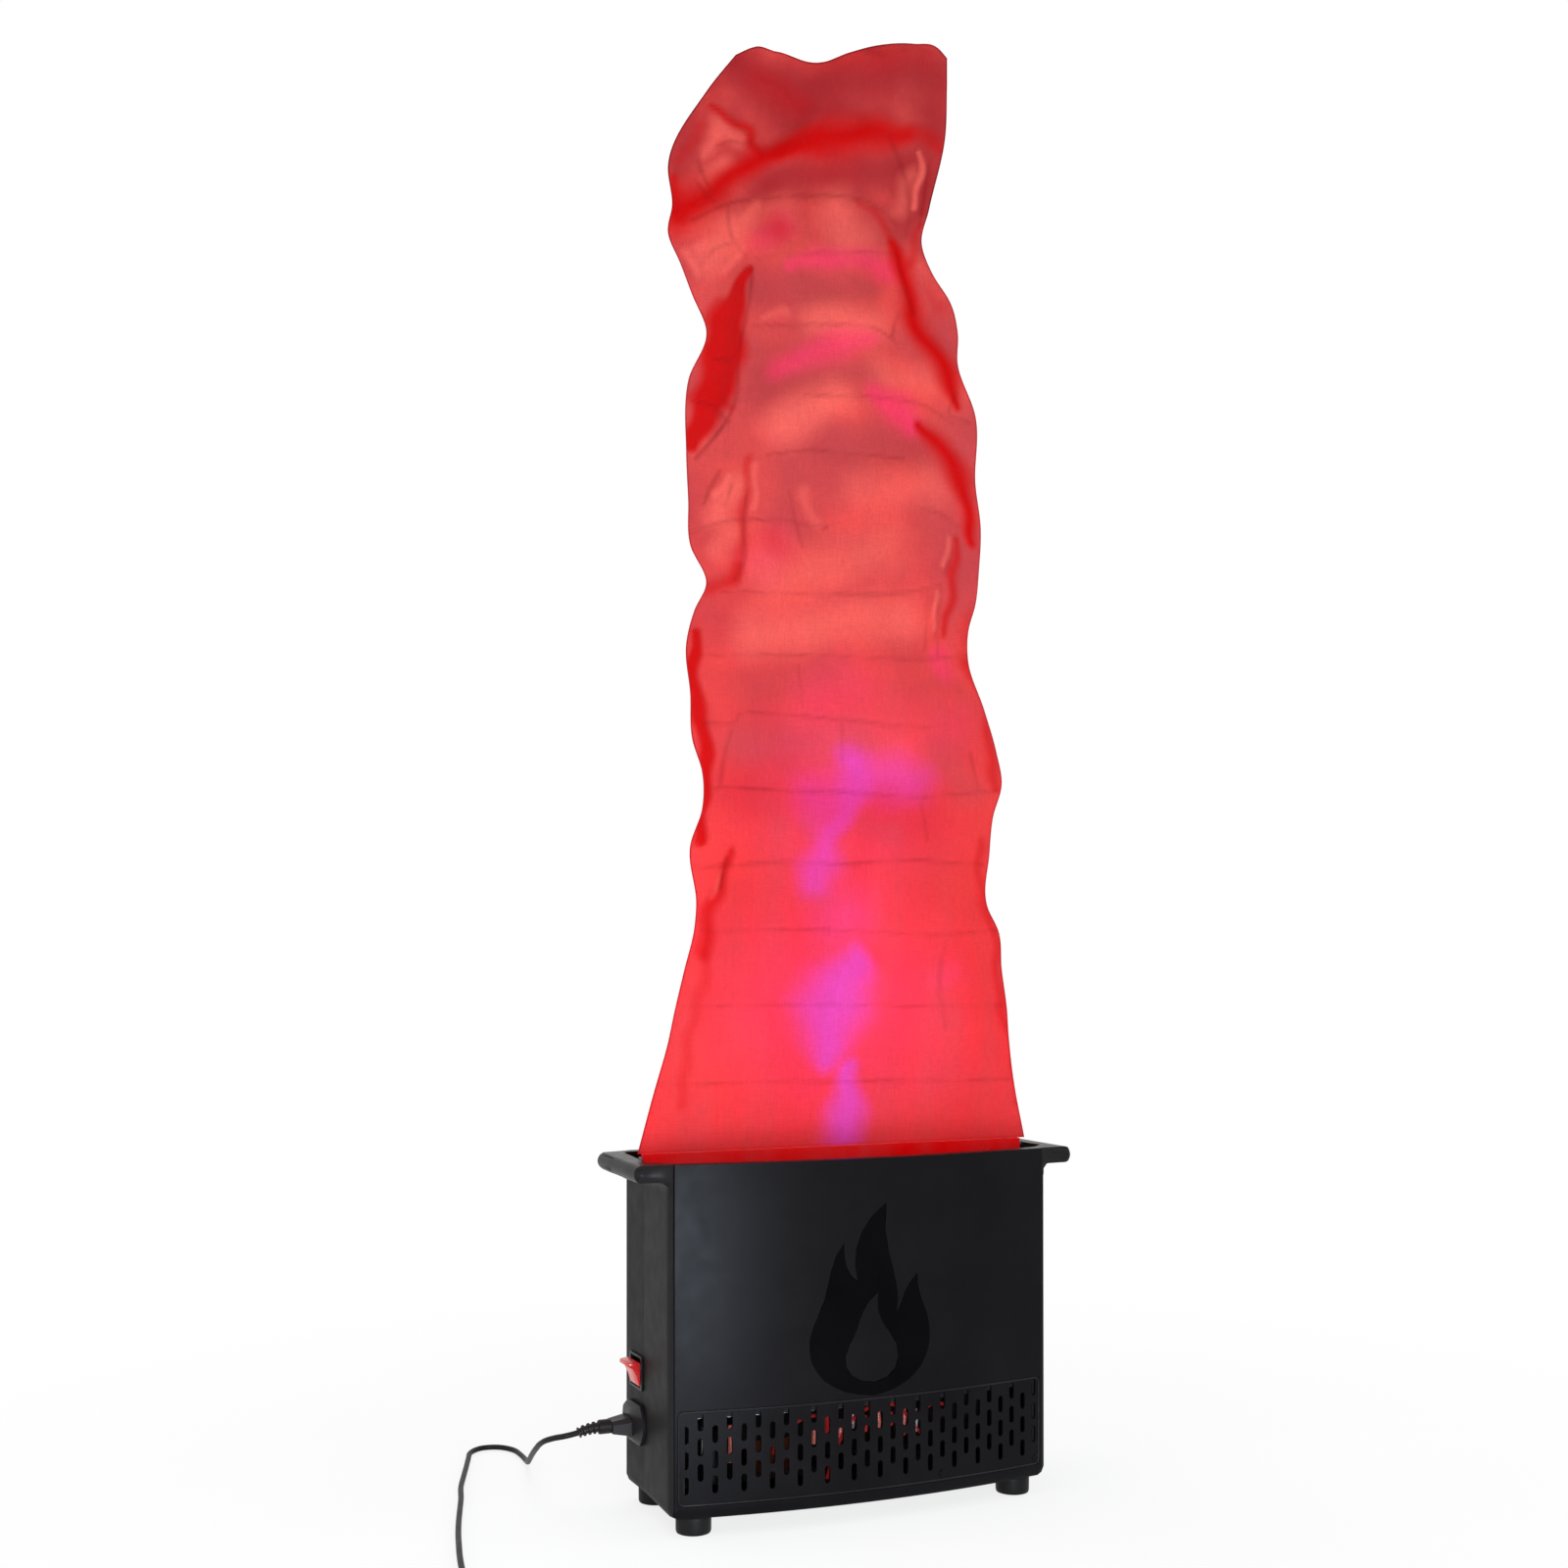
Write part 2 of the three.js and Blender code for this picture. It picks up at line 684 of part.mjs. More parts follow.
// Back half with its vents, the switch and inlet openings and four screws
function rearPieces(tub) {
  const rearHalf = block([-lipOuter - overrun, seamY + clearance / 2, 0],
    [lipOuter + overrun, backY + overrun, bodyTop + overrun]);
  let shell = tub.intersect(rearHalf);
  for (let column = 0; column < ventColumns; column += 1) {
    for (let row = 0; row < ventRows; row += 1) {
      const x = (column - (ventColumns - 1) / 2) * ventSpacing;
      const slot = rectangle(x, ventBase + row * ventPitch, ventLength, ventHeight, ventHeight / 2);
      shell = shell.subtract(prismY(slot, backY - wall - overrun, backY + overrun, 2));
    }
  }
  const holes = [
    rectangle(switchCentreY, switchCentreZ, switchWidth - 2 * switchBodyInset, switchHeight - 2 * switchBodyInset),
    rectangle(socketY, socketZ, inletBodyWidth, inletBodyHeight),
  ];
  for (const hole of holes) shell = shell.subtract(prismX(hole, -sideX - overrun, -sideX + wall + overrun));
  const screwX = sideX - backScrewInsetX;
  const places = [['low_left', -1, backScrewLowZ], ['low_right', 1, backScrewLowZ],
    ['high_left', -1, backScrewHighZ], ['high_right', 1, backScrewHighZ]];
  for (const [name, side, z] of places) {
    const x = side * screwX;
    const recess = cylinderY(backScrewHeadRadius + clearance, backY - backScrewDepth, backY + overrun, 16)
      .add(cylinderY(smallScrewShankRadius + clearance, backY - wall - overrun, backY, 8));
    shell = shell.subtract(recess.translate(x, 0, z));
    const screw = addPiece(`back_screw_${name}`, boltGeometry(backScrewHeadRadius, smallScrewHeadHeight,
      smallScrewShankRadius, smallScrewLength), finishes.darkSteel,
    [x, backY - backScrewDepth + clearance, z]);
    screw.rotation.z = halfTurn;
  }
  addSolid('rear_shell', shell, finishes.shell);
}

function footPieces() {
  const profile = [
    [footBoreRadius, footBoreDepth], [footBoreRadius, 0], [footTipRadius, 0], [footRadius, footRadius - footTipRadius],
    [footRadius, bodyBase - clearance], [footScrewRadius + clearance, bodyBase - clearance],
    [footScrewRadius + clearance, footBoreDepth], [footBoreRadius, footBoreDepth],
  ];
  const headBase = footBoreDepth - clearance - footScrewHeadHeight;
  const screwProfile = [
    [0, headBase], [footScrewHeadRadius, headBase], [footScrewHeadRadius, footBoreDepth - clearance],
    [footScrewRadius, footBoreDepth - clearance], [footScrewRadius, headBase + footScrewLength],
    [0, headBase + footScrewLength],
  ];
  const turned = (points, sides) => new THREE.LatheGeometry(points.map(([r, z]) => new THREE.Vector2(r, z)), sides)
    .rotateX(quarterTurn);
  for (const [name, x, y] of footPlaces()) {
    addPiece(`foot_${name}`, turned(profile, 20), finishes.rubber, [x, y, 0]);
    addPiece(`foot_screw_${name}`, turned(screwProfile, 10), finishes.darkSteel, [x, y, 0]);
  }
}

// The rocker's pivot lies on the outer face of the switch frame
const rockerPivotX = -(sideX + switchProud);
const rockerHalfHeight = switchHeight / 2 - switchFrame - clearance;
const rockerWidth = switchWidth - 2 * (switchFrame + switchBodyInset);

function switchPieces() {
  const [y, z] = [switchCentreY, switchCentreZ];
  const outer = -(sideX + switchProud);
  const bodyWidthY = switchWidth - 2 * (switchBodyInset + clearance);
  const bodyHeightZ = switchHeight - 2 * (switchBodyInset + clearance);
  const pocket = rectangle(y, z, rockerWidth + 2 * clearance, 2 * (rockerHalfHeight + clearance));
  const frame = prismX(rectangle(y, z, switchWidth, switchHeight, switchBodyInset), outer, -(sideX + clearance))
    .add(prismX(rectangle(y, z, bodyWidthY, bodyHeightZ), -(sideX + clearance) - clearance, switchBodyDepth - sideX))
    .subtract(prismX(pocket, outer - overrun, outer + rockerPocketDepth));
  addSolid('switch_frame', frame, finishes.switchBlack);

  const half = rockerHalfHeight - rockerSwing;
  const profile = roundedShape([
    [-rockerTipRise, -half], [-rockerRise, 0], [-rockerTipRise, half], [0, half],
    [rockerRootDepth, half / 2], [rockerRootDepth, -half / 2], [0, -half],
  ]);
  const rocker = prismY(profile, -rockerWidth / 2, rockerWidth / 2);
  const button = addSolid('rocker_button', rocker, finishes.rockerRed, [rockerPivotX, y, z]);
  button.rotation.y = -rockerTilt;
}

// Inlet plate with an arched front edge that reaches over the seam, a raised collar and a deep socket
function inletPieces() {
  const [y, z] = [inletCentreY, inletCentreZ];
  const [half, tall] = [inletWidth / 2, inletHeight / 2];
  const [front, back] = [y - half, y + half];
  const plate = new THREE.Shape();
  plate.moveTo(front + inletBulge, z - tall);
  plate.lineTo(back - inletRearCorner, z - tall);
  plate.quadraticCurveTo(back, z - tall, back, z - tall + inletRearCorner);
  plate.lineTo(back, z + tall - inletRearCorner);
  plate.quadraticCurveTo(back, z + tall, back - inletRearCorner, z + tall);
  plate.lineTo(front + inletBulge, z + tall);
  plate.quadraticCurveTo(front - inletBulge, z, front + inletBulge, z - tall);
  const wallFace = -(sideX + inletLift + clearance);
  const plateFace = wallFace - inletPlate;
  const collarFace = plateFace - inletCollarProud;
  const collar = rectangle(socketY, z, inletCollarWidth, inletCollarHeight, inletCorner);
  const socket = rectangle(socketY, socketZ, connectorWidth + 2 * clearance, connectorHeight + 2 * clearance);
  const socketEnd = collarFace + connectorInsert + clearance;
  const bodyEnd = wallFace + inletBodyDepth;
  const body = wasm.Manifold.hull([prismX(plate, plateFace, wallFace, 6),
    prismX(collar, collarFace, collarFace + inletFace, 3)])
    .add(prismX(rectangle(socketY, socketZ, inletBodyWidth - 2 * clearance, inletBodyHeight - 2 * clearance),
      plateFace + clearance, bodyEnd))
    .subtract(prismX(socket, collarFace - overrun, socketEnd));
  addSolid('mains_inlet', body, finishes.switchBlack);
  return { collarFace, socketEnd, bodyEnd };
}

// A tube through points, with a radius at each, closed at both ends
function sweep(points, radii, sides) {
  const positions = [];
  const indices = [];
  const tangentAt = (index) => points[Math.min(index + 1, points.length - 1)].clone()
    .sub(points[Math.max(index - 1, 0)]).normalize();
  let side = new THREE.Vector3(0, 0, 1).cross(tangentAt(0));
  if (side.lengthSq() < Number.EPSILON) side = new THREE.Vector3(1, 0, 0);
  points.forEach((point, index) => {
    const tangent = tangentAt(index);
    side = side.addScaledVector(tangent, -side.dot(tangent)).normalize();
    const up = new THREE.Vector3().crossVectors(tangent, side);
    for (let step = 0; step < sides; step += 1) {
      const angle = ((step + 0.5) / sides) * 2 * halfTurn;
      const vertex = point.clone().addScaledVector(side, Math.cos(angle) * radii[index])
        .addScaledVector(up, Math.sin(angle) * radii[index]);
      positions.push(vertex.x, vertex.y, vertex.z);
    }
  });
  for (let ring = 0; ring < points.length - 1; ring += 1) {
    for (let step = 0; step < sides; step += 1) {
      const [a, b] = [ring * sides + step, ring * sides + (step + 1) % sides];
      indices.push(a, b, b + sides, a, b + sides, a + sides);
    }
  }
  const last = (points.length - 1) * sides;
  for (let step = 1; step < sides - 1; step += 1) {
    indices.push(0, step + 1, step, last, last + step, last + step + 1);
  }
  const geometry = new THREE.BufferGeometry();
  geometry.setAttribute('position', new THREE.Float32BufferAttribute(positions, 3));
  geometry.setIndex(indices);
  geometry.computeVertexNormals();
  return geometry;
}

// The connector keeps its full section in the socket and tapers to its collar
function connectorPieces(inlet) {
  const section = (width, height, chamfer) => {
    const [half, tall] = [width / 2, height / 2];
    return roundedShape([
      [socketY - half, socketZ - tall], [socketY + half, socketZ - tall],
      [socketY + half, socketZ + tall - chamfer], [socketY + half - chamfer, socketZ + tall],
      [socketY - half + chamfer, socketZ + tall], [socketY - half, socketZ + tall - chamfer],
    ]);
  };
  const tip = inlet.socketEnd - clearance;
  const shoulder = tip - connectorLength;
  const collarEnd = shoulder - collarLength;
  const full = prismX(section(connectorWidth, connectorHeight, connectorChamfer), inlet.collarFace, tip);
  const neck = prismX(section(connectorNeckWidth, connectorNeckHeight, connectorNeckChamfer), shoulder,
    shoulder + connectorNeckChamfer);
  const collar = new THREE.CylinderGeometry(collarRadius, collarRadius, collarLength, 16)
    .rotateZ(quarterTurn).translate((shoulder + collarEnd + clearance) / 2, socketY, socketZ);
  addSolid('cord_connector', wasm.Manifold.hull([full, neck]).add(toSolid(collar)), finishes.cordBlack);
  return new THREE.Vector3(collarEnd, socketY, socketZ);
}

// The strain relief droops a little and steps in and out at each rib
function reliefPiece(start) {
  const base = new THREE.Vector3(start.x, start.y, start.z);
  const points = [];
  const radii = [];
  const steps = reliefRibs * 4;
  for (let step = 0; step <= steps; step += 1) {
    const share = step / steps;
    points.push(new THREE.Vector3(base.x - share * reliefLength, base.y, base.z - reliefDroop * share ** 2));
    const radius = THREE.MathUtils.lerp(reliefStartRadius, reliefEndRadius, share);
    radii.push(radius - (step % 4 < 2 ? 0 : reliefRibDepth));
  }
  addPiece('cord_strain_relief', sweep(points, radii, 10), finishes.cordBlack);
  return points[points.length - 1];
}

// The lead's route: out of the strain relief, back and down to the ground, round and forward again
const leadRoute = [
  [-246, 46, 70], [-252.8, 53, 67.5], [-257.8, 63, 63.5], [-258.9, 77, 57.5], [-257.1, 97, 48.4],
  [-253.2, 121, 38.4], [-248.4, 147, 27.4], [-242.6, 175, 16.3], [-236.5, 201, 8], [-231.8, 224, 3.4],
  [-230.8, 245, 3], [-233, 268, 3], [-244, 284, 3], [-260, 287, 3], [-274, 275, 3], [-282.5, 251, 3],
  [-292, 221, 3], [-302, 190, 3], [-312, 158, 3], [-320, 124, 3], [-329, 90.5, 3], [-338, 57, 3],
  [-346.5, 23, 3], [-354, -10.6, 3], [-361, -44, 3], [-366.6, -76, 3], [-368.3, -92, 3.4],
];
const coilCentre = [-408.6, -132];
const leadSteps = 60;

function coilPoints() {
  const pitch = cordDiameter + coilGap;
  const lowZ = tieThickness + clearance + cordRadius;
  const outer = coilMeanRadius + pitch * coilTurns / 4;
  const points = [];
  const steps = coilTurns * coilStepsPerTurn;
  const climb = (turn) => THREE.MathUtils.smoothstep(turn, (coilTurns - coilClimbTurns) / 2,
    (coilTurns + coilClimbTurns) / 2);
  for (let step = 0; step <= steps; step += 1) {
    const turn = step / coilStepsPerTurn;
    const radius = outer - pitch * Math.min(turn, coilTurns - turn);
    const angle = -turn * 2 * halfTurn;
    points.push(new THREE.Vector3(coilCentre[0] + radius * Math.cos(angle),
      coilCentre[1] + radius * Math.sin(angle), lowZ + climb(turn) * pitch));
  }
  return points;
}

// Least distance between stretches of the coil that aren't neighbours along it
function leastGap(points) {
  let least = Infinity;
  const apart = Math.round(coilStepsPerTurn / 2);
  points.forEach((a, i) => points.slice(i + apart).forEach((b) => {
    least = Math.min(least, a.distanceTo(b));
  }));
  return least - cordDiameter;
}

function cordPieces(reliefEnd) {
  const coil = coilPoints();
  const coilStart = coil[0];
  const route = leadRoute.map(([x, y, z]) => new THREE.Vector3(x, y, z));
  const out = new THREE.Vector3(reliefEnd.x - 2 * clearance, reliefEnd.y, reliefEnd.z);
  const head = new THREE.Vector3(coilStart.x, coilStart.y + cordDiameter, coilStart.z);
  const lineUp = new THREE.Vector3(head.x, head.y + cordDiameter, head.z);
  const stop = new THREE.Vector3(head.x, head.y + clearance, head.z);
  const first = out.clone().add(new THREE.Vector3(-cordDiameter, 0, -reliefRibDepth));
  const curve = new THREE.CatmullRomCurve3([out, first, ...route, lineUp, stop], false, 'centripetal');
  const section = new THREE.Shape(Array.from({ length: cordSides }, (_, step) => new THREE.Vector2(
    cordRadius * Math.cos((step / cordSides) * 2 * halfTurn),
    cordRadius * Math.sin((step / cordSides) * 2 * halfTurn))));
  addPiece('cord_lead', new THREE.ExtrudeGeometry(section, {
    steps: leadSteps, bevelEnabled: false, extrudePath: curve,
  }), finishes.cordBlack);

  const last = coil[coil.length - 1];
  const tail = [0.5, 1].map((share) => new THREE.Vector3(last.x, last.y - share * tailLength, last.z));
  const wound = [head, ...coil, ...tail];
  addPiece('cord_coil', sweep(wound, wound.map(() => cordRadius), coilSides), finishes.cordBlack);
  console.log('least gap in the coil', leastGap(coil).toFixed(2), 'mm');
  console.log('length of the lead', curve.getLength().toFixed(0), 'mm and of the coil',
    wound.slice(1).reduce((sum, point, index) => sum + point.distanceTo(wound[index]), 0).toFixed(0), 'mm');
  return tail[1];
}

function tiePiece() {
  const pitch = cordDiameter + coilGap;
  const spread = pitch * coilTurns / 2 + cordDiameter + 2 * clearance;
  const height = 2 * cordDiameter + coilGap + 2 * clearance;
  const centreX = coilCentre[0] - coilMeanRadius;
  const centreZ = tieThickness + height / 2;
  const outer = rectangle(centreX, centreZ, spread + 2 * tieThickness, height + 2 * tieThickness);
  const inner = rectangle(centreX, centreZ, spread, height);
  const band = prismY(outer, -tieLength / 2, tieLength / 2)
    .subtract(prismY(inner, -tieLength, tieLength));
  addSolid('coil_tie', band, finishes.rubber, [0, coilCentre[1], 0]);
}

function plugPieces(tailEnd) {
  const [x, top] = [tailEnd.x, tailEnd.y - clearance];
  const z = plugHeight / 2 + clearance;
  const bodyTopY = top - plugReliefLength;
  const bodyEndY = bodyTopY - plugBodyLength;
  const relief = sweep([[top, tailEnd.z], [top - plugReliefLength / 2, tailEnd.z], [bodyTopY - overrun, z]]
    .map(([y, height]) => new THREE.Vector3(x, y, height)),
  [plugReliefRadius - reliefRibDepth, plugReliefRadius, plugReliefRadius + reliefRibDepth], 10);
  const shoulder = roundedShape([
    [x - plugWidth / 2, bodyEndY, clearance], [x + plugWidth / 2, bodyEndY, clearance],
    [x + plugWidth / 2, bodyTopY - plugCorner, plugCorner], [x + plugCorner, bodyTopY, plugCorner / 2],
    [x - plugCorner, bodyTopY, plugCorner / 2], [x - plugWidth / 2, bodyTopY - plugCorner, plugCorner],
  ]);
  const body = prismZ(shoulder, z - plugHeight / 2, z + plugHeight / 2).add(toSolid(relief));
  addSolid('mains_plug', body, finishes.cordBlack);
  const bladeTop = z + plugHeight / 2 - earthPinOffset;
  for (const [name, side] of [['left', -1], ['right', 1]]) {
    const centre = x + side * bladeSpacing / 2;
    addSolid(`plug_blade_${name}`, block(
      [centre - bladeThickness / 2, bodyEndY - bladeLength, bladeTop - bladeWidth / 2],
      [centre + bladeThickness / 2, bodyEndY - clearance, bladeTop + bladeWidth / 2]), finishes.brass);
  }
  addSolid('plug_earth_pin', cylinderY(earthPinRadius, bodyEndY - earthPinLength, bodyEndY - clearance, 12),
    finishes.brass, [x, 0, z - plugHeight / 2 + earthPinOffset - earthPinRadius]);
}

function fanCentres() {
  return [['left', -fanSpacing / 2], ['right', fanSpacing / 2]];
}

function fanFrame() {
  const low = trayHeight - trayThickness - clearance - fanHeight;
  const high = low + fanHeight;
  let frame = prismZ(rectangle(0, 0, fanSize, fanSize, fanCorner), low, high)
    .subtract(cylinderZ(fanBore, low - overrun, high + overrun, 32));
  for (let strut = 0; strut < fanStruts; strut += 1) {
    const bar = block([0, -fanStrutWidth / 2, low], [fanBore + clearance, fanStrutWidth / 2, low + fanHubPlate]);
    frame = frame.add(bar.rotate([0, 0, (strut * 360) / fanStruts + 45]));
  }
  return frame.add(cylinderZ(fanHubPlateRadius, low, low + fanHubPlate, 20))
    .add(cylinderZ(fanShaftRadius, low, low + fanHubPlate + fanShaftLength, 12));
}

function fanImpeller() {
  const low = trayHeight - trayThickness - clearance - fanHeight + fanHubPlate + impellerGap;
  let wheel = cylinderZ(impellerHubRadius, low, low + impellerHubHeight, 20);
  for (let blade = 0; blade < impellerBlades; blade += 1) {
    const vane = block([impellerHubRadius - impellerBladeThickness, -impellerBladeChord / 2, -impellerBladeThickness / 2],
      [impellerTipRadius, impellerBladeChord / 2, impellerBladeThickness / 2])
      .rotate([THREE.MathUtils.radToDeg(impellerPitch), 0, 0])
      .translate(0, 0, low + impellerHubHeight / 2)
      .rotate([0, 0, (blade * 360) / impellerBlades]);
    wheel = wheel.add(vane);
  }
  return wheel.subtract(cylinderZ(fanShaftRadius + shaftClearance, low - overrun,
    low + fanShaftLength - impellerGap + shaftClearance, 12));
}

function fanGuard() {
  const [low, high] = [trayHeight + clearance, trayHeight + clearance + guardWire];
  let guard = null;
  for (let hoop = 1; hoop <= guardHoops; hoop += 1) {
    const radius = fanBore * hoop / guardHoops;
    const sides = hoop === 1 ? 12 : 20;
    const ring = cylinderZ(radius, low, high, sides).subtract(cylinderZ(radius - guardWire, low - overrun,
      high + overrun, sides));
    guard = guard ? guard.add(ring) : ring;
  }
  for (let bar = 0; bar < guardBars; bar += 1) {
    const spoke = block([fanBore / guardHoops - guardWire, -guardWire / 2, low],
      [fanSize / 2, guardWire / 2, high]);
    guard = guard.add(spoke.rotate([0, 0, (bar * 360) / guardBars]));
  }
  return guard;
}

function trayPiece() {
  let tray = inside(wall + trayMargin, frontWallInset + trayMargin, trayHeight - trayThickness, trayHeight);
  for (const [, x] of fanCentres()) {
    tray = tray.subtract(cylinderZ(fanBore, trayHeight - trayThickness - overrun, trayHeight + overrun, 32)
      .translate(x, fanDepthShift, 0));
  }
  addSolid('fan_tray', tray, finishes.aluminium);
}

function fanPieces() {
  trayPiece();
  for (const [side, x] of fanCentres()) {
    addSolid(`fan_frame_${side}`, fanFrame(), finishes.aluminium, [x, fanDepthShift, 0]);
    addSolid(`fan_impeller_${side}`, fanImpeller(), finishes.fanBlack, [x, fanDepthShift, 0]);
    addSolid(`fan_guard_${side}`, fanGuard(), finishes.steel, [x, fanDepthShift, 0]);
  }
}

// Half width between the side walls at a given depth
function insideHalf(y) {
  const lean = THREE.MathUtils.clamp((y - cornerY) / seamDepth, 0, 1);
  return halfBody - wall - lean * seamInset;
}

function lampPieces() {
  const profile = [
    [0, 0], [lampBaseRadius, 0], [lampMouthRadius, lampHeight], [lampMouthRadius - lampRim, lampHeight],
    [lampBaseRadius - lampRim, lampFloor], [0, lampFloor],
  ];
  const boardTop = railHeight + railThickness + clearance + boardThickness;
  for (const [row, y] of [['front', -railOffset], ['rear', railOffset]]) {
    const reach = Math.min(insideHalf(y - railWidth / 2), insideHalf(y + railWidth / 2)) - clearance;
    addSolid(`lamp_rail_${row}`, block([-reach, y - railWidth / 2, railHeight],
      [reach, y + railWidth / 2, railHeight + railThickness]), finishes.aluminium);
    addSolid(`lamp_board_${row}`, block(
      [-reach + boardMargin, y - railWidth / 2 + boardMargin, railHeight + railThickness + clearance],
      [reach - boardMargin, y + railWidth / 2 - boardMargin, boardTop]), finishes.circuit);
    for (let lamp = 0; lamp < lampsPerRail; lamp += 1) {
      const x = (lamp - (lampsPerRail - 1) / 2) * lampSpacing;
      const geometry = new THREE.LatheGeometry(profile.map(([r, z]) => new THREE.Vector2(r, z)), 12)
        .rotateX(quarterTurn);
      addPiece(`lamp_lens_${row}_${lamp + 1}`, geometry, finishes.lens, [x, y, boardTop + clearance]);
    }
  }
}

// The silk's outline from its hem up: shares of its height, and of half the hem for its left and right edges
const silkOutlineShares = [
  [0, -1.01, 1.01], [0.009, -1.02, 1.04], [0.052, -0.94, 0.97], [0.095, -0.87, 0.94],
  [0.12, -0.84, 0.93], [0.157, -0.79, 0.9], [0.193, -0.74, 0.88], [0.214, -0.73, 0.82],
  [0.265, -0.76, 0.83], [0.298, -0.7, 0.85], [0.329, -0.7, 0.9], [0.358, -0.75, 0.87],
  [0.397, -0.76, 0.8], [0.44, -0.78, 0.71], [0.469, -0.74, 0.71], [0.494, -0.68, 0.75],
  [0.526, -0.76, 0.77], [0.565, -0.77, 0.78], [0.605, -0.78, 0.75], [0.668, -0.77, 0.75],
  [0.714, -0.68, 0.65], [0.743, -0.75, 0.65], [0.769, -0.81, 0.61], [0.793, -0.87, 0.51],
  [0.818, -0.85, 0.45], [0.852, -0.87, 0.49], [0.921, -0.68, 0.58], [0.968, -0.49, 0.59],
];
const silkCrestShares = [0.973, 0.973, 0.973, 0.973, 0.981, 0.99, 0.997, 1, 1];
const silkWave = 11;
const silkFolds = 3;
const silkDrift = 0.9;
const silkDriftPerHeight = 5;
const silkRippleShare = 0.35;
const silkRipples = 7;
const silkRippleLean = 4;
const silkHemShare = 0.12;
const silkEdgeCurl = 13;
const silkEdgePower = 6;
const silkCurlPerHeight = 9;
const silkNod = 17;
const silkNodShare = 0.82;

function outlineAt(z) {
  const up = THREE.MathUtils.clamp((z - hemTop) / (silkTop - hemTop), 0, silkOutlineShares.at(-1)[0]);
  const index = Math.max(1, silkOutlineShares.findIndex(([share]) => share >= up));
  const [low, high] = [silkOutlineShares[index - 1], silkOutlineShares[index]];
  const between = (up - low[0]) / (high[0] - low[0]);
  return [1, 2].map((column) => hemHalf * THREE.MathUtils.lerp(low[column], high[column], between));
}

// Depth of the cloth at a share across and a share up: long upright folds, with curled edges and top
function silkDepth(across, up) {
  const grow = THREE.MathUtils.smoothstep(up, 0, silkHemShare);
  const drift = silkDrift * Math.sin(silkDriftPerHeight * up);
  const fold = Math.sin(halfTurn * (silkFolds * across + drift + 1 / 2));
  const ripple = silkRippleShare * Math.sin(halfTurn * (silkRipples * across - silkRippleLean * up));
  const edges = (1 - across) ** silkEdgePower - across ** silkEdgePower;
  const curl = silkEdgeCurl * edges * Math.cos(silkCurlPerHeight * up);
  const nod = silkNod * (Math.max(0, up - silkNodShare) / (1 - silkNodShare)) ** 2;
  return grow * (silkWave * (fold + ripple) + curl - nod);
}

function silkPiece() {
  const base = hemTop + clearance;
  const front = [];
  const back = [];
  for (let row = 0; row <= silkRows; row += 1) {
    for (let column = 0; column <= silkColumns; column += 1) {
      const [across, up] = [column / silkColumns, row / silkRows];
      const crestAt = across * (silkCrestShares.length - 1);
      const index = Math.min(Math.floor(crestAt), silkCrestShares.length - 2);
      const crest = silkTop * THREE.MathUtils.lerp(silkCrestShares[index], silkCrestShares[index + 1], crestAt - index);
      const z = base + up * (crest - base);
      const [left, right] = outlineAt(z);
      const y = silkDepth(across, up);
      const x = THREE.MathUtils.lerp(left, right, across);
      front.push([x, y - silkThickness / 2, z]);
      back.push([x, y + silkThickness / 2, z]);
    }
  }
  const stride = silkColumns + 1;
  const count = front.length;
  const indices = [];
  const quad = (a, b, c, d) => indices.push(a, b, c, a, c, d);
  for (let row = 0; row < silkRows; row += 1) {
    for (let column = 0; column < silkColumns; column += 1) {
      const a = row * stride + column;
      quad(a, a + 1, a + 1 + stride, a + stride);
      quad(count + a, count + a + stride, count + a + 1 + stride, count + a + 1);
    }
    const [left, right] = [row * stride, row * stride + silkColumns];
    quad(left, left + stride, left + stride + count, left + count);
    quad(right, right + count, right + stride + count, right + stride);
  }
  const topRow = silkRows * stride;
  for (let column = 0; column < silkColumns; column += 1) {
    quad(column, column + count, column + 1 + count, column + 1);
    quad(topRow + column, topRow + column + 1, topRow + column + 1 + count, topRow + column + count);
  }
  const geometry = new THREE.BufferGeometry();
  geometry.setAttribute('position', new THREE.Float32BufferAttribute([...front, ...back].flat(), 3));
  geometry.setIndex(indices);
  geometry.computeVertexNormals();
  addPiece('silk_flame', geometry, finishes.silk);
}

function silkHolderPieces() {
  const barBase = throatFloor + clearance;
  const barReach = throatHalfAt(barThickness / 2) - clearance;
  addSolid('silk_bar', block([-barReach, -barThickness / 2, barBase], [barReach, barThickness / 2,
    barBase + barHeight]), finishes.steel);
  const inner = barThickness / 2 + clearance;
  const outer = inner + hemWall;
  const sleeve = block([-hemHalf, -outer, barBase + clearance], [hemHalf, outer, hemTop])
    .subtract(block([-hemHalf - overrun, -inner, barBase - overrun], [hemHalf + overrun, inner,
      barBase + barHeight + clearance]));
  addSolid('silk_hem', sleeve, finishes.hem);
}

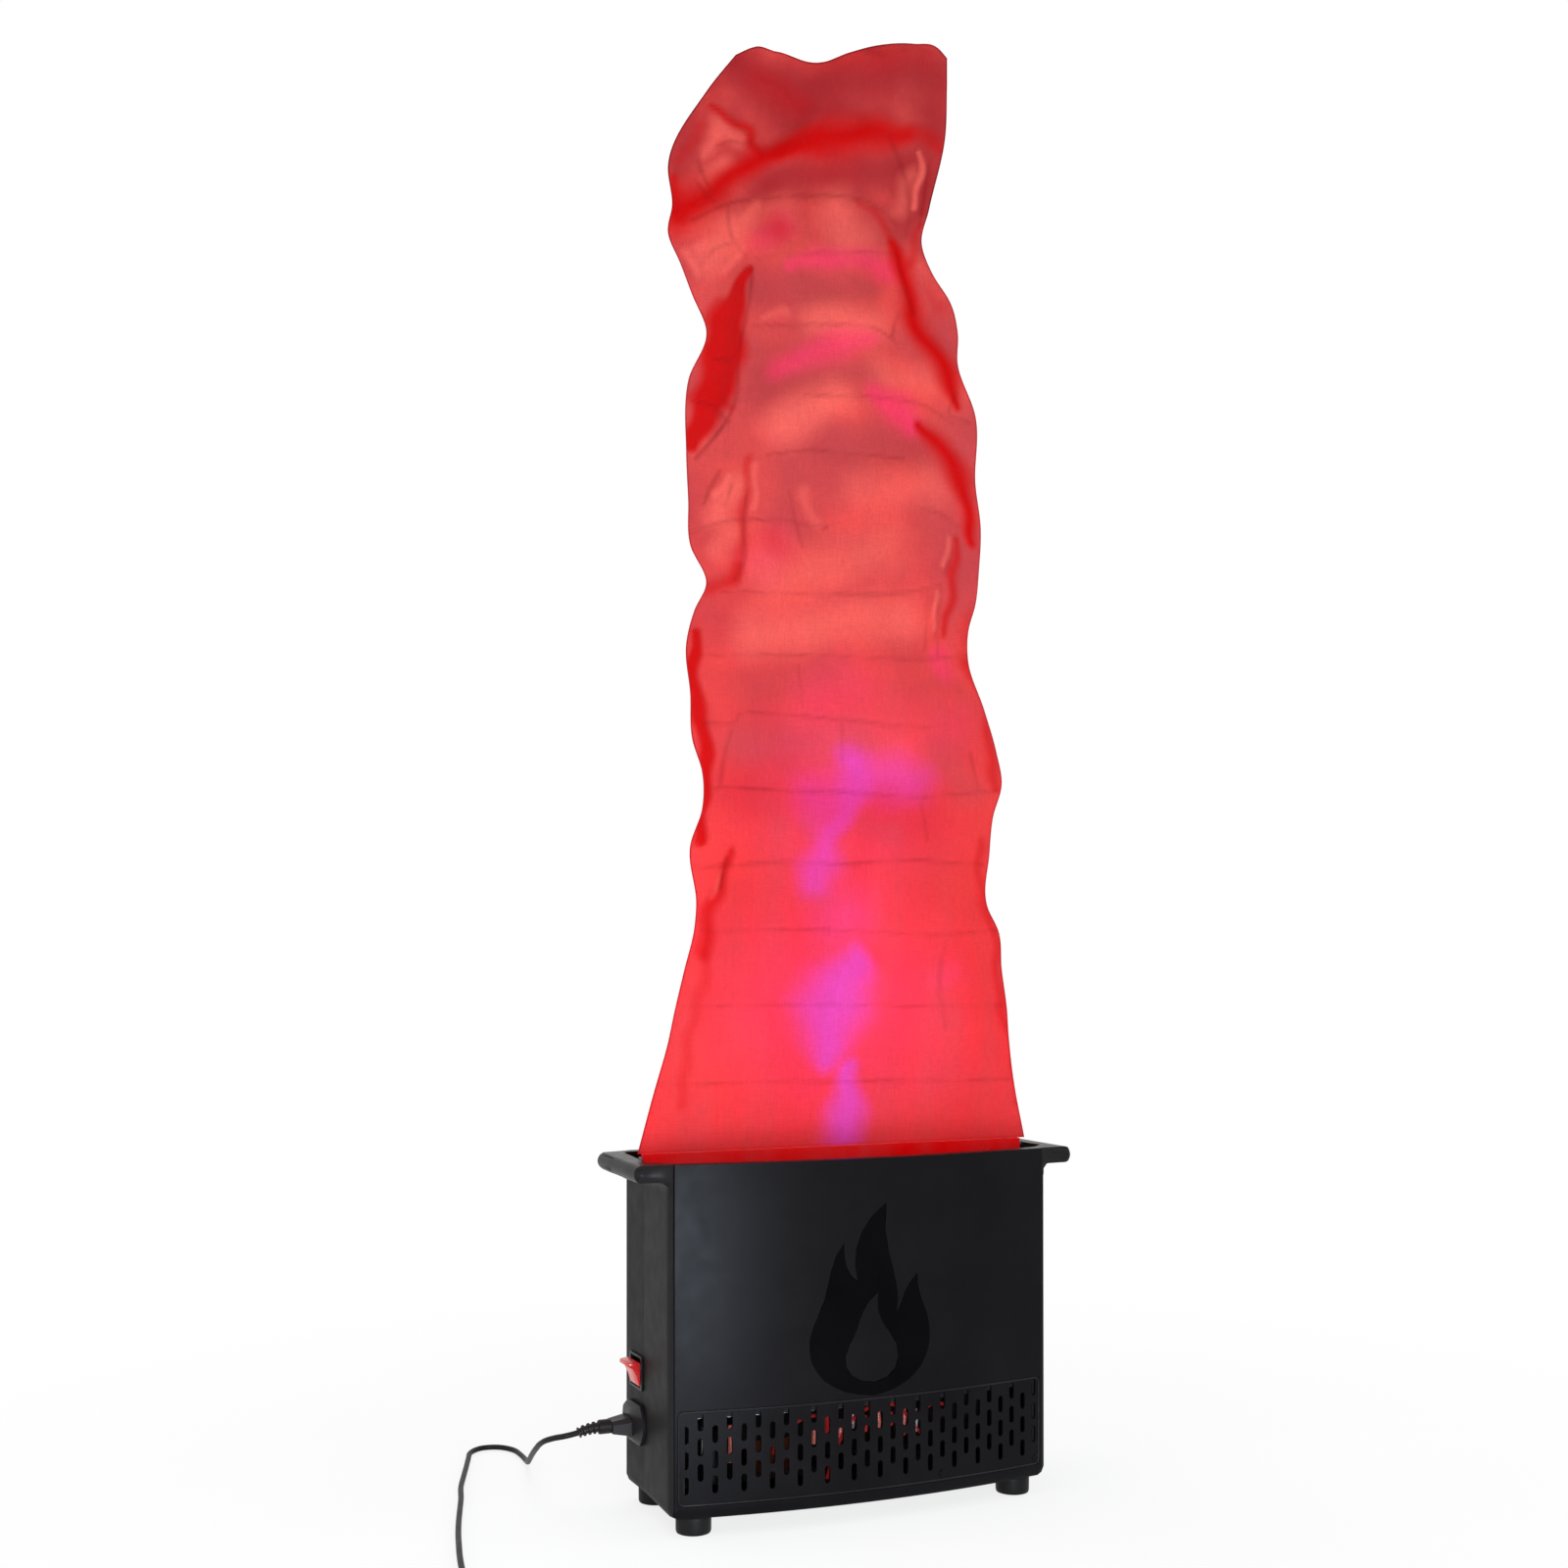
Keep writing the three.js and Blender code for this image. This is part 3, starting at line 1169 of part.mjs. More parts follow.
function supplyPieces(inlet) {
  const floor = bodyBase + wall;
  const low = floor + boardStandoff;
  const top = low + boardThickness;
  const [x, y] = [supplyCentreX, boardCentreY];
  ['supply_board', 'controller_board'].forEach((name, index) => {
    const [centre, length, width] = boards[index];
    addSolid(name, block([centre - length / 2, y - width / 2, low], [centre + length / 2, y + width / 2, top]),
      finishes.circuit);
  });
  addSolid('transformer', block([x, y - transformerWidth / 2, top + clearance],
    [x + transformerLength, y + transformerWidth / 2, top + clearance + transformerHeight]), finishes.copper);
  addSolid('capacitor', cylinderZ(capacitorRadius, top + clearance, top + clearance + capacitorHeight, 16),
    finishes.sleeve, [x - capacitorGap - capacitorRadius, y, 0]);
  const lead = [[inlet.bodyEnd + clearance, 0], [inlet.bodyEnd + innerLeadBend, 0],
    [inlet.bodyEnd + innerLeadRun, -2 * innerLeadBend]]
    .map(([leadX, drop]) => new THREE.Vector3(leadX, socketY, socketZ - innerLeadDrop + drop));
  for (const z of [top + capacitorHeight, top + clearance]) {
    lead.push(new THREE.Vector3(inlet.bodyEnd + innerLeadRun + innerLeadBend, socketY, z));
  }
  const smooth = new THREE.CatmullRomCurve3(lead, false, 'centripetal').getPoints(12);
  addPiece('inner_mains_lead', sweep(smooth, smooth.map(() => innerLeadRadius), 6), finishes.cordBlack);
}

const tub = housing();
frontPieces(tub);
rearPieces(tub);
footPieces();
switchPieces();
const inlet = inletPieces();
const reliefStart = connectorPieces(inlet);
const reliefEnd = reliefPiece(reliefStart);
const tailEnd = cordPieces(reliefEnd);
tiePiece();
plugPieces(tailEnd);
fanPieces();
lampPieces();
silkHolderPieces();
silkPiece();
supplyPieces(inlet);

export default model;
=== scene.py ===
"""Dresses a silk flame effect light, piece by piece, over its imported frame. Sizes are in millimetres."""

import json
import logging
import math
from dataclasses import dataclass, field
from enum import Enum
from functools import cached_property
from typing import Iterable, Sequence

import bmesh
import bpy
import numpy as np
from mathutils import Matrix, Vector

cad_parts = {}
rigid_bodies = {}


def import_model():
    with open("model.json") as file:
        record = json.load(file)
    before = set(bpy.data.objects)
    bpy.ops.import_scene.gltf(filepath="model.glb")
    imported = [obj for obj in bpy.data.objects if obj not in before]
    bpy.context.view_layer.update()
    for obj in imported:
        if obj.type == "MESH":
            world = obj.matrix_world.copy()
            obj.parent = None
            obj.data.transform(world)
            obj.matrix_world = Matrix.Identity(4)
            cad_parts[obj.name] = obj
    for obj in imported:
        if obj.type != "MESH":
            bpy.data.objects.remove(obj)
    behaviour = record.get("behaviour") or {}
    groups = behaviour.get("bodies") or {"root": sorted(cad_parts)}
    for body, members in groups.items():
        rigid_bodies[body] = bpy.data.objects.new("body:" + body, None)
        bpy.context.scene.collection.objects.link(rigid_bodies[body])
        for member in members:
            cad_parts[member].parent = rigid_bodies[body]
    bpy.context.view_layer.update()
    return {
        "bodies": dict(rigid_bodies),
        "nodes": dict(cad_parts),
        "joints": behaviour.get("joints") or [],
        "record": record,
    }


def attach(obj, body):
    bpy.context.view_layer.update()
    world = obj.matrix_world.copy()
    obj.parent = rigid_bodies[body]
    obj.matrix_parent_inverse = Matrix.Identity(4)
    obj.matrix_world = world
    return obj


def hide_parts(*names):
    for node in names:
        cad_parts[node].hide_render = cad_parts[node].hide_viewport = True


MM = 0.001
LOG = logging.getLogger("silk_flame")
Point = tuple[float, float, float]
Colour = tuple[float, float, float]
Spread = tuple[float, float]
Shares = tuple[tuple[float, float], ...]
# A noise field: its cells a metre, its layers and its stretch on each axis
Noise = tuple[float, float, Point]
WHITE: Colour = (1, 1, 1)
# Distances in metres: corners this near are joined, and a cut takes corners this near as lying on it
JOIN = 1e-6
CUT = 1e-7
# Least step of time between two knots of a curve
LEAST_STEP = 1e-4


class Body(Enum):
    """The bodies that a piece can ride on."""

    HOUSING = "housing"
    ROCKER = "rocker"
    IMPELLER_LEFT = "impeller_left"
    IMPELLER_RIGHT = "impeller_right"


def linear(value: int) -> float:
    """Turns one share of a colour, 0 to 255 as the eye names it, into the scene's linear one."""
    part = value / 255
    return part / 12.92 if part <= 0.04045 else ((part + 0.055) / 1.055) ** 2.4


def shade(red: int, green: int, blue: int) -> Colour:
    """Turns a colour as the eye names it, 0 to 255, into the scene's linear one."""
    return linear(red), linear(green), linear(blue)


def smooth(edge0: float, edge1: float, value: float) -> float:
    """Eases from 0 to 1 as the value goes from the first edge to the second."""
    part = min(1.0, max(0.0, (value - edge0) / (edge1 - edge0)))
    return part * part * (3 - 2 * part)


def stand(name: str, data: bpy.types.ID) -> bpy.types.Object:
    """Stands a new object in the scene.

    Args:
        name: Name of the object.
        data: Its mesh, curve, camera or light.

    Returns:
        The object.
    """
    made = bpy.data.objects.new(name, data)
    bpy.context.scene.collection.objects.link(made)
    return made


class Nodes:
    """Lays out the nodes of a material, or of the surroundings."""

    def __init__(self, name: str, blocks: object = None, output: str = "ShaderNodeOutputMaterial") -> None:
        """Starts an empty material, or an empty block of the kind that is given.

        Args:
            name: Name of the block.
            blocks: Where the block is made, if it isn't a material.
            output: Blender type of its output.
        """
        self.block = (bpy.data.materials if blocks is None else blocks).new(name)
        self.block.use_nodes = True
        self.tree = self.block.node_tree
        self.tree.nodes.clear()
        self.output = self.add(output)

    @cached_property
    def place(self) -> bpy.types.NodeSocket:
        """Returns the place on the object, made once."""
        return self.add("ShaderNodeTexCoord").outputs["Object"]

    def add(self, kind: str, **settings: object) -> bpy.types.Node:
        """Adds a node.

        Args:
            kind: Its Blender type.
            **settings: Properties to set on it.

        Returns:
            The new node.
        """
        node = self.tree.nodes.new(kind)
        for key, value in settings.items():
            setattr(node, key, value)
        return node

    def feed(self, socket: bpy.types.NodeSocket, value: object) -> None:
        """Puts a value on a socket, or links another socket to it.

        Args:
            socket: The input to fill.
            value: A number, colour or output socket.
        """
        if isinstance(value, bpy.types.NodeSocket):
            self.tree.links.new(value, socket)
        elif isinstance(value, tuple) and len(value) == 3 and socket.type == "RGBA":
            socket.default_value = (*value, 1)
        else:
            socket.default_value = value

    def noise(self, scale: float, detail: float = 3, stretch: Point = (1, 1, 1)) -> bpy.types.NodeSocket:
        """Makes a noise field in object space.

        Args:
            scale: Cells a metre.
            detail: Layers of detail.
            stretch: Scale on each axis.

        Returns:
            The noise value's socket.
        """
        mapping = self.add("ShaderNodeMapping")
        self.feed(mapping.inputs["Vector"], self.place)
        mapping.inputs["Scale"].default_value = stretch
        texture = self.add("ShaderNodeTexNoise")
        self.feed(texture.inputs["Vector"], mapping.outputs["Vector"])
        self.feed(texture.inputs["Scale"], scale)
        self.feed(texture.inputs["Detail"], detail)
        return texture.outputs["Fac"]

    def blend(self, share: object, first: object, second: object, mode: str = "MIX") -> bpy.types.NodeSocket:
        """Blends two colours.

        Args:
            share: How much of the second shows.
            first: First colour or socket.
            second: Second colour or socket.
            mode: Kind of blend.

        Returns:
            The blended colour's socket.
        """
        mix = self.add("ShaderNodeMix", data_type="RGBA", blend_type=mode)
        self.feed(mix.inputs[0], share)
        self.feed(mix.inputs[6], first)
        self.feed(mix.inputs[7], second)
        return mix.outputs[2]

    def sum(self, operation: str, *values: object) -> bpy.types.NodeSocket:
        """Works out a number.

        Args:
            operation: Name of the sum.
            *values: Its numbers or sockets.

        Returns:
            The result's socket.
        """
        node = self.add("ShaderNodeMath", operation=operation)
        for socket, value in zip(node.inputs, values):
            self.feed(socket, value)
        return node.outputs[0]

    def span(self, value: bpy.types.NodeSocket, low: float, high: float, out_low: float = 0,
             out_high: float = 1) -> bpy.types.NodeSocket:
        """Maps a number from one range to another and keeps it inside.

        Args:
            value: The number.
            low: Its low end.
            high: Its high end.
            out_low: What the low end becomes.
            out_high: What the high end becomes.

        Returns:
            The mapped number's socket.
        """
        node = self.add("ShaderNodeMapRange")
        for socket, number in zip(node.inputs, (value, low, high, out_low, out_high)):
            self.feed(socket, number)
        return node.outputs[0]

    def height(self) -> bpy.types.NodeSocket:
        """Reads the height above the ground.

        Returns:
            The height's socket, in metres.
        """
        split = self.add("ShaderNodeSeparateXYZ")
        self.feed(split.inputs[0], self.place)
        return split.outputs["Z"]

    def background(self) -> bpy.types.NodeSocket:
        """Finds the rays that see the plain background.

        Returns:
            Their share's socket.
        """
        rays = self.add("ShaderNodeLightPath").outputs
        seen = self.sum("MAXIMUM", rays["Is Camera Ray"], rays["Is Glossy Ray"])
        return self.sum("MAXIMUM", seen, rays["Is Transmission Ray"])

    def bump(self, height: bpy.types.NodeSocket, strength: float, depth: float) -> bpy.types.NodeSocket:
        """Makes a relief.

        Args:
            height: Height field.
            strength: How much of it shows.
            depth: Its depth in millimetres.

        Returns:
            The normal's socket.
        """
        node = self.add("ShaderNodeBump")
        self.feed(node.inputs["Height"], height)
        self.feed(node.inputs["Strength"], strength)
        self.feed(node.inputs["Distance"], depth * MM)
        return node.outputs["Normal"]

    def principled(self, **inputs: object) -> bpy.types.Node:
        """Adds the main shader.

        Args:
            **inputs: Its inputs by name, with underscores for spaces.

        Returns:
            The shader's node.
        """
        node = self.add("ShaderNodeBsdfPrincipled")
        for key, value in inputs.items():
            self.feed(node.inputs[key.replace("_", " ")], value)
        return node

    def plain(self, kind: str, **inputs: object) -> bpy.types.NodeSocket:
        """Adds a simple shader.

        Args:
            kind: Its Blender type.
            **inputs: Its inputs by name.

        Returns:
            The shader's socket.
        """
        node = self.add(kind)
        for key, value in inputs.items():
            self.feed(node.inputs[key], value)
        return node.outputs[0]

    def layer(self, share: object, first: bpy.types.NodeSocket,
              second: bpy.types.NodeSocket) -> bpy.types.NodeSocket:
        """Mixes two shaders.

        Args:
            share: How much of the second shows.
            first: First shader.
            second: Second shader.

        Returns:
            The mixed shader's socket.
        """
        mix = self.add("ShaderNodeMixShader")
        for socket, value in zip(mix.inputs, (share, first, second)):
            self.feed(socket, value)
        return mix.outputs[0]

    def finish(self, shader: bpy.types.NodeSocket) -> bpy.types.Material | bpy.types.World:
        """Links the last shader to the output, and returns the finished material or surroundings."""
        self.feed(self.output.inputs["Surface"], shader)
        return self.block


@dataclass(frozen=True)
class Moulded:
    """Moulded plastic or rubber with a fine grain and a slight cloudiness."""

    name: str
    colour: Colour
    roughness: float = 0.45
    specular: float = 0.3
    grain: float = 0.05
    grain_size: float = 0.6
    cloud: float = 0.25
    coat: float = 0.0
    glow: float = 0.0
    rim_height: float = 0.0
    rim_polish: float = 0.0
    rim_depth: float = 0.012
    cloud_cells: float = 14
    cloud_spread: Spread = (0.35, 0.65)
    scuff_cells: float = 60
    scuff_spread: Spread = (0.3, 0.7)
    lift: float = 0.0006
    smoother: float = 0.03
    rougher: float = 0.05
    relief: float = 0.5

    def build(self) -> bpy.types.Material:
        """Lays out the finish.

        Returns:
            The material.
        """
        nodes = Nodes(self.name)
        cloud = nodes.noise(self.cloud_cells, 4)
        scuff = nodes.noise(self.scuff_cells, 5)
        lighter = tuple(part * (1 + self.cloud) + self.lift for part in self.colour)
        darker = tuple(part * (1 - self.cloud) for part in self.colour)
        tint = nodes.blend(nodes.span(cloud, *self.cloud_spread), darker, lighter)
        rough = nodes.span(scuff, *self.scuff_spread, self.roughness - self.smoother,
                           self.roughness + self.rougher)
        grain = nodes.noise(1 / MM / self.grain_size, 2)
        if self.rim_polish:
            polish = nodes.span(nodes.height(), self.rim_height - self.rim_depth, self.rim_height, 0,
                                self.rim_polish)
            rough = nodes.sum("SUBTRACT", rough, polish)
        shader = nodes.principled(Base_Color=tint, Roughness=rough,
                                  Normal=nodes.bump(grain, self.relief, self.grain),
                                  Specular_IOR_Level=self.specular, Coat_Weight=self.coat,
                                  Emission_Color=self.colour, Emission_Strength=self.glow)
        return nodes.finish(shader.outputs[0])


@dataclass(frozen=True)
class Metal:
    """Bare, plated or blackened metal with fine drawn lines."""

    name: str
    colour: Colour
    roughness: float = 0.35
    line: Point = (1, 1, 12)
    glow: float = 0.0
    glow_colour: Colour = WHITE
    line_cells: float = 320
    line_spread: Spread = (0.3, 0.7)
    line_depth: float = 0.05
    relief: float = 0.3
    cloud_cells: float = 40
    cloud_spread: Spread = (0.3, 0.75)
    dull: float = 0.72
    smoother: float = 0.08
    rougher: float = 0.1

    def build(self) -> bpy.types.Material:
        """Lays out the finish.

        Returns:
            The material.
        """
        nodes = Nodes(self.name)
        lines = nodes.noise(self.line_cells, 4, self.line)
        cloud = nodes.noise(self.cloud_cells, 3)
        dull = tuple(part * self.dull for part in self.colour)
        tint = nodes.blend(nodes.span(cloud, *self.cloud_spread), dull, self.colour)
        rough = nodes.span(lines, *self.line_spread, self.roughness - self.smoother,
                           self.roughness + self.rougher)
        shader = nodes.principled(Base_Color=tint, Metallic=1.0, Roughness=rough,
                                  Normal=nodes.bump(lines, self.relief, self.line_depth),
                                  Emission_Color=self.glow_colour, Emission_Strength=self.glow)
        return nodes.finish(shader.outputs[0])


@dataclass(frozen=True)
class ClearRed:
    """The rocker's see-through red plastic, which looks to glow a little on its thin edges: a painted sheen
    in paler red where its faces turn from the eye, and a painted glow over it all.
    """

    name: str
    colour: Colour
    edge: Colour
    rim: float = 0.2
    cloud_cells: float = 160
    cloud_spread: Spread = (0.2, 0.8)
    cloud: float = 0.25
    roughness: float = 0.22
    specular: float = 0.3
    coat: float = 0.1
    coat_roughness: float = 0.08
    # Painted glow: light through the clear red plastic
    glow: float = 0.35

    def build(self) -> bpy.types.Material:
        """Lays out the finish.

        Returns:
            The material.
        """
        nodes = Nodes(self.name)
        cloud = nodes.noise(self.cloud_cells, 3)
        rim = nodes.add("ShaderNodeLayerWeight")
        nodes.feed(rim.inputs["Blend"], self.rim)
        # Painted sheen: paler red where the faces turn away from the eye
        tint = nodes.blend(rim.outputs["Facing"], self.colour, self.edge)
        tint = nodes.blend(nodes.span(cloud, *self.cloud_spread, 0, self.cloud), tint, self.edge)
        shader = nodes.principled(Base_Color=tint, Roughness=self.roughness, Specular_IOR_Level=self.specular,
                                  Coat_Weight=self.coat, Coat_Roughness=self.coat_roughness,
                                  Emission_Color=self.colour, Emission_Strength=self.glow)
        return nodes.finish(shader.outputs[0])


@dataclass(frozen=True)
class CircuitBoard:
    """Green solder resist with copper tracks under it."""

    name: str
    resist: Colour = shade(12, 34, 22)
    lighter: Colour = shade(14, 40, 25)
    track: Colour = shade(30, 62, 40)
    cells: float = 60
    track_width: float = 0.05
    roughness: float = 0.35
    relief: float = 0.4
    depth: float = 0.1

    def build(self) -> bpy.types.Material:
        """Lays out the finish.

        Returns:
            The material.
        """
        nodes = Nodes(self.name)
        cells = nodes.add("ShaderNodeTexBrick", offset=0.5, squash=1.0)
        nodes.feed(cells.inputs["Vector"], nodes.place)
        for key, value in (("Scale", self.cells), ("Mortar Size", self.track_width), ("Color1", self.resist),
                           ("Color2", self.lighter), ("Mortar", self.track)):
            nodes.feed(cells.inputs[key], value)
        shader = nodes.principled(Base_Color=cells.outputs["Color"], Roughness=self.roughness,
                                  Normal=nodes.bump(cells.outputs["Fac"], self.relief, self.depth))
        return nodes.finish(shader.outputs[0])


@dataclass(frozen=True)
class Stroke:
    """A mark on the silk, drawn through places on the chart, each with its half width there."""

    points: tuple[Point, ...]
    strength: float = 1.0
    firm: float = 0.0
    soft_reach: float = 1.5
    steps: int = 5
    least: float = 1e-9

    def mask(self, across: np.ndarray, down: np.ndarray) -> np.ndarray:
        """Works out how strongly the mark shows at each place.

        Args:
            across: Places across the chart.
            down: Places down the chart.

        Returns:
            Shares from 0 to the mark's strength.
        """
        joint = np.zeros_like(across)
        knots = [Vector(point) for point in self.points]
        if len(knots) == 1:
            knots = knots * 2
        ends = centripetal(knots, self.steps) + [knots[-1]] if len(knots) > 2 else knots
        for (x0, y0, width0), (x1, y1, width1) in zip(ends, ends[1:]):
            run_x, run_y = x1 - x0, y1 - y0
            length = max(run_x ** 2 + run_y ** 2, self.least)
            along = np.clip(((across - x0) * run_x + (down - y0) * run_y) / length, 0, 1)
            away = np.hypot(across - x0 - along * run_x, down - y0 - along * run_y)
            spread = self.soft_reach - self.firm * (self.soft_reach - 1)
            reach = (width0 + along * (width1 - width0)) * spread
            part = np.clip((1 - away / reach) / (1 - self.firm), 0, 1)
            joint = np.maximum(joint, part * part * (3 - 2 * part))
        return joint * self.strength


@dataclass(frozen=True)
class Cloth:
    """Thin silk lit from below, with its lamp light and shade painted into its colour: a fine weave, denser
    folds, pressed creases darkened with painted shade, painted highlights on the folds and patches of painted
    lamp light.
    """

    name: str
    # Painted light: the silk is white, and its reds and pinks are painted red, pink and violet lamp light,
    # the stronger red towards the bottom included
    light: Colour = shade(224, 84, 80)
    # Painted highlight: light catching the ridges of the folds
    pale: Colour = shade(238, 112, 102)
    shaded: Colour = shade(166, 42, 48)
    # Painted shade for the middle of the sheet, lighter than the painted shade near the top
    mid_shade: Colour = shade(190, 72, 76)
    low: Colour = shade(228, 44, 50)
    # Deeper red where the silk lies doubled: the layers are real, their deeper red is painted lamp light
    dense: Colour = shade(200, 0, 0)
    # Painted shade: the dark in the creases
    line: Colour = shade(134, 10, 20)
    # Painted light: violet lamp light and pink lamp light on the white silk
    lamp: Colour = shade(214, 70, 172)
    pink_lamp_light: Colour = shade(236, 60, 110)
    # Painted light: this glow stands in for the lamp light shining through the silk from below
    glow: float = 0.3
    marked: bool = True
    mid_shade_heights: Spread = (1.1, 1.19)
    low_heights: Spread = (0.95, 0.5)
    low_share: float = 0.8
    cloud_spread: Spread = (0.36, 0.68)
    fold_shade_spread: Spread = (0.45, 0.72)
    fold_shade_share: float = 0.34
    broken_spread: Spread = (0.38, 0.62)
    broken_least: float = 0.3
    soft_fold_shading: Noise = (9, 4, (1, 0.2, 1.6))
    fold_shade_streaks: Noise = (24, 4, (1, 0.2, 0.3))
    breaks: Noise = (30, 3, (1, 0.2, 0.5))
    threads_across: Noise = (800, 2, (1, 1, 0.1))
    threads_along: Noise = (800, 2, (0.1, 1, 1))
    wrinkles: Noise = (26, 3, (1, 0.3, 0.45))
    swells: Noise = (11, 2, (0.5, 0.3, 1.6))
    weave_spread: Spread = (0.7, 1.3)
    weave_share: float = 0.22
    weave_height: float = 0.04
    relief: float = 0.8
    depth: float = 7.0
    roughness: float = 0.5
    specular: float = 0.05
    clear: float = 0.3

    def mark(self, nodes: Nodes, name: str) -> bpy.types.NodeSocket:
        """Reads the share of one kind of mark from the mesh."""
        return nodes.add("ShaderNodeAttribute", attribute_name=name).outputs["Fac"]

    def tint(self, nodes: Nodes) -> bpy.types.NodeSocket:
        """Works out the cloth's colour, with its painted lamp light, painted highlights and painted shade.

        Args:
            nodes: The material in the making.

        Returns:
            The colour.
        """
        height = nodes.height()
        # Painted shade: soft patches of shade over the folds
        cloud = nodes.noise(*self.soft_fold_shading)
        # Painted shade: darker near the top of the sheet, lighter below
        dim = nodes.blend(nodes.span(height, *self.mid_shade_heights), self.mid_shade, self.shaded)
        tint = nodes.blend(nodes.span(cloud, *self.cloud_spread), self.light, dim)
        tint = nodes.blend(nodes.span(height, *self.low_heights, 0, self.low_share), tint, self.low)
        # Painted shade: long stripes of shade down the folds of the drape
        fold_shade_streaks = nodes.noise(*self.fold_shade_streaks)
        tint = nodes.blend(nodes.span(fold_shade_streaks, *self.fold_shade_spread, 0, self.fold_shade_share), tint, dim)
        if not self.marked:
            return tint
        broken = nodes.span(nodes.noise(*self.breaks), *self.broken_spread, self.broken_least, 1)
        # The marks in turn: painted shade, painted highlights, painted pink and violet lamp light, the deeper
        # red of doubled silk, and painted shade in the creases
        for name, colour in (("shade", dim), ("pale", self.pale), ("pink_lamp_light", self.pink_lamp_light), ("lamp", self.lamp),
                             ("dense", self.dense), ("crease", self.line)):
            share = self.mark(nodes, name)
            share = nodes.sum("MULTIPLY", share, broken) if name == "crease" else share
            tint = nodes.blend(share, tint, colour)
        return tint

    def build(self) -> bpy.types.Material:
        """Lays out the finish.

        Returns:
            The material.
        """
        nodes = Nodes(self.name)
        weave = nodes.sum("ADD", nodes.noise(*self.threads_across), nodes.noise(*self.threads_along))
        worn = nodes.span(weave, *self.weave_spread, 0, self.weave_share)
        tint = nodes.blend(worn, self.tint(nodes), self.shaded)
        wrinkle = nodes.sum("ADD", nodes.noise(*self.wrinkles), nodes.noise(*self.swells))
        height = nodes.sum("ADD", nodes.sum("MULTIPLY", weave, self.weave_height), wrinkle)
        normal = nodes.bump(height, self.relief, self.depth)
        front = nodes.principled(Base_Color=tint, Roughness=self.roughness, Specular_IOR_Level=self.specular,
                                 Emission_Color=tint, Emission_Strength=self.glow, Normal=normal)
        through = nodes.plain("ShaderNodeBsdfTranslucent", Color=tint, Normal=normal)
        return nodes.finish(nodes.layer(self.clear, front.outputs[0], through))


@dataclass(frozen=True)
class Glow:
    """A lamp's lit face."""

    name: str
    colour: Colour
    strength: float = 1.5
    spot_cells: float = 500
    spot_spread: Spread = (0.4, 0.6)
    spot_share: float = 0.3
    roughness: float = 0.2

    def build(self) -> bpy.types.Material:
        """Lays out the finish.

        Returns:
            The material.
        """
        nodes = Nodes(self.name)
        spots = nodes.noise(self.spot_cells, 1)
        tint = nodes.blend(nodes.span(spots, *self.spot_spread, 0, self.spot_share), self.colour, WHITE)
        shader = nodes.principled(Base_Color=tint, Roughness=self.roughness, Emission_Color=tint,
                                  Emission_Strength=self.strength)
        return nodes.finish(shader.outputs[0])


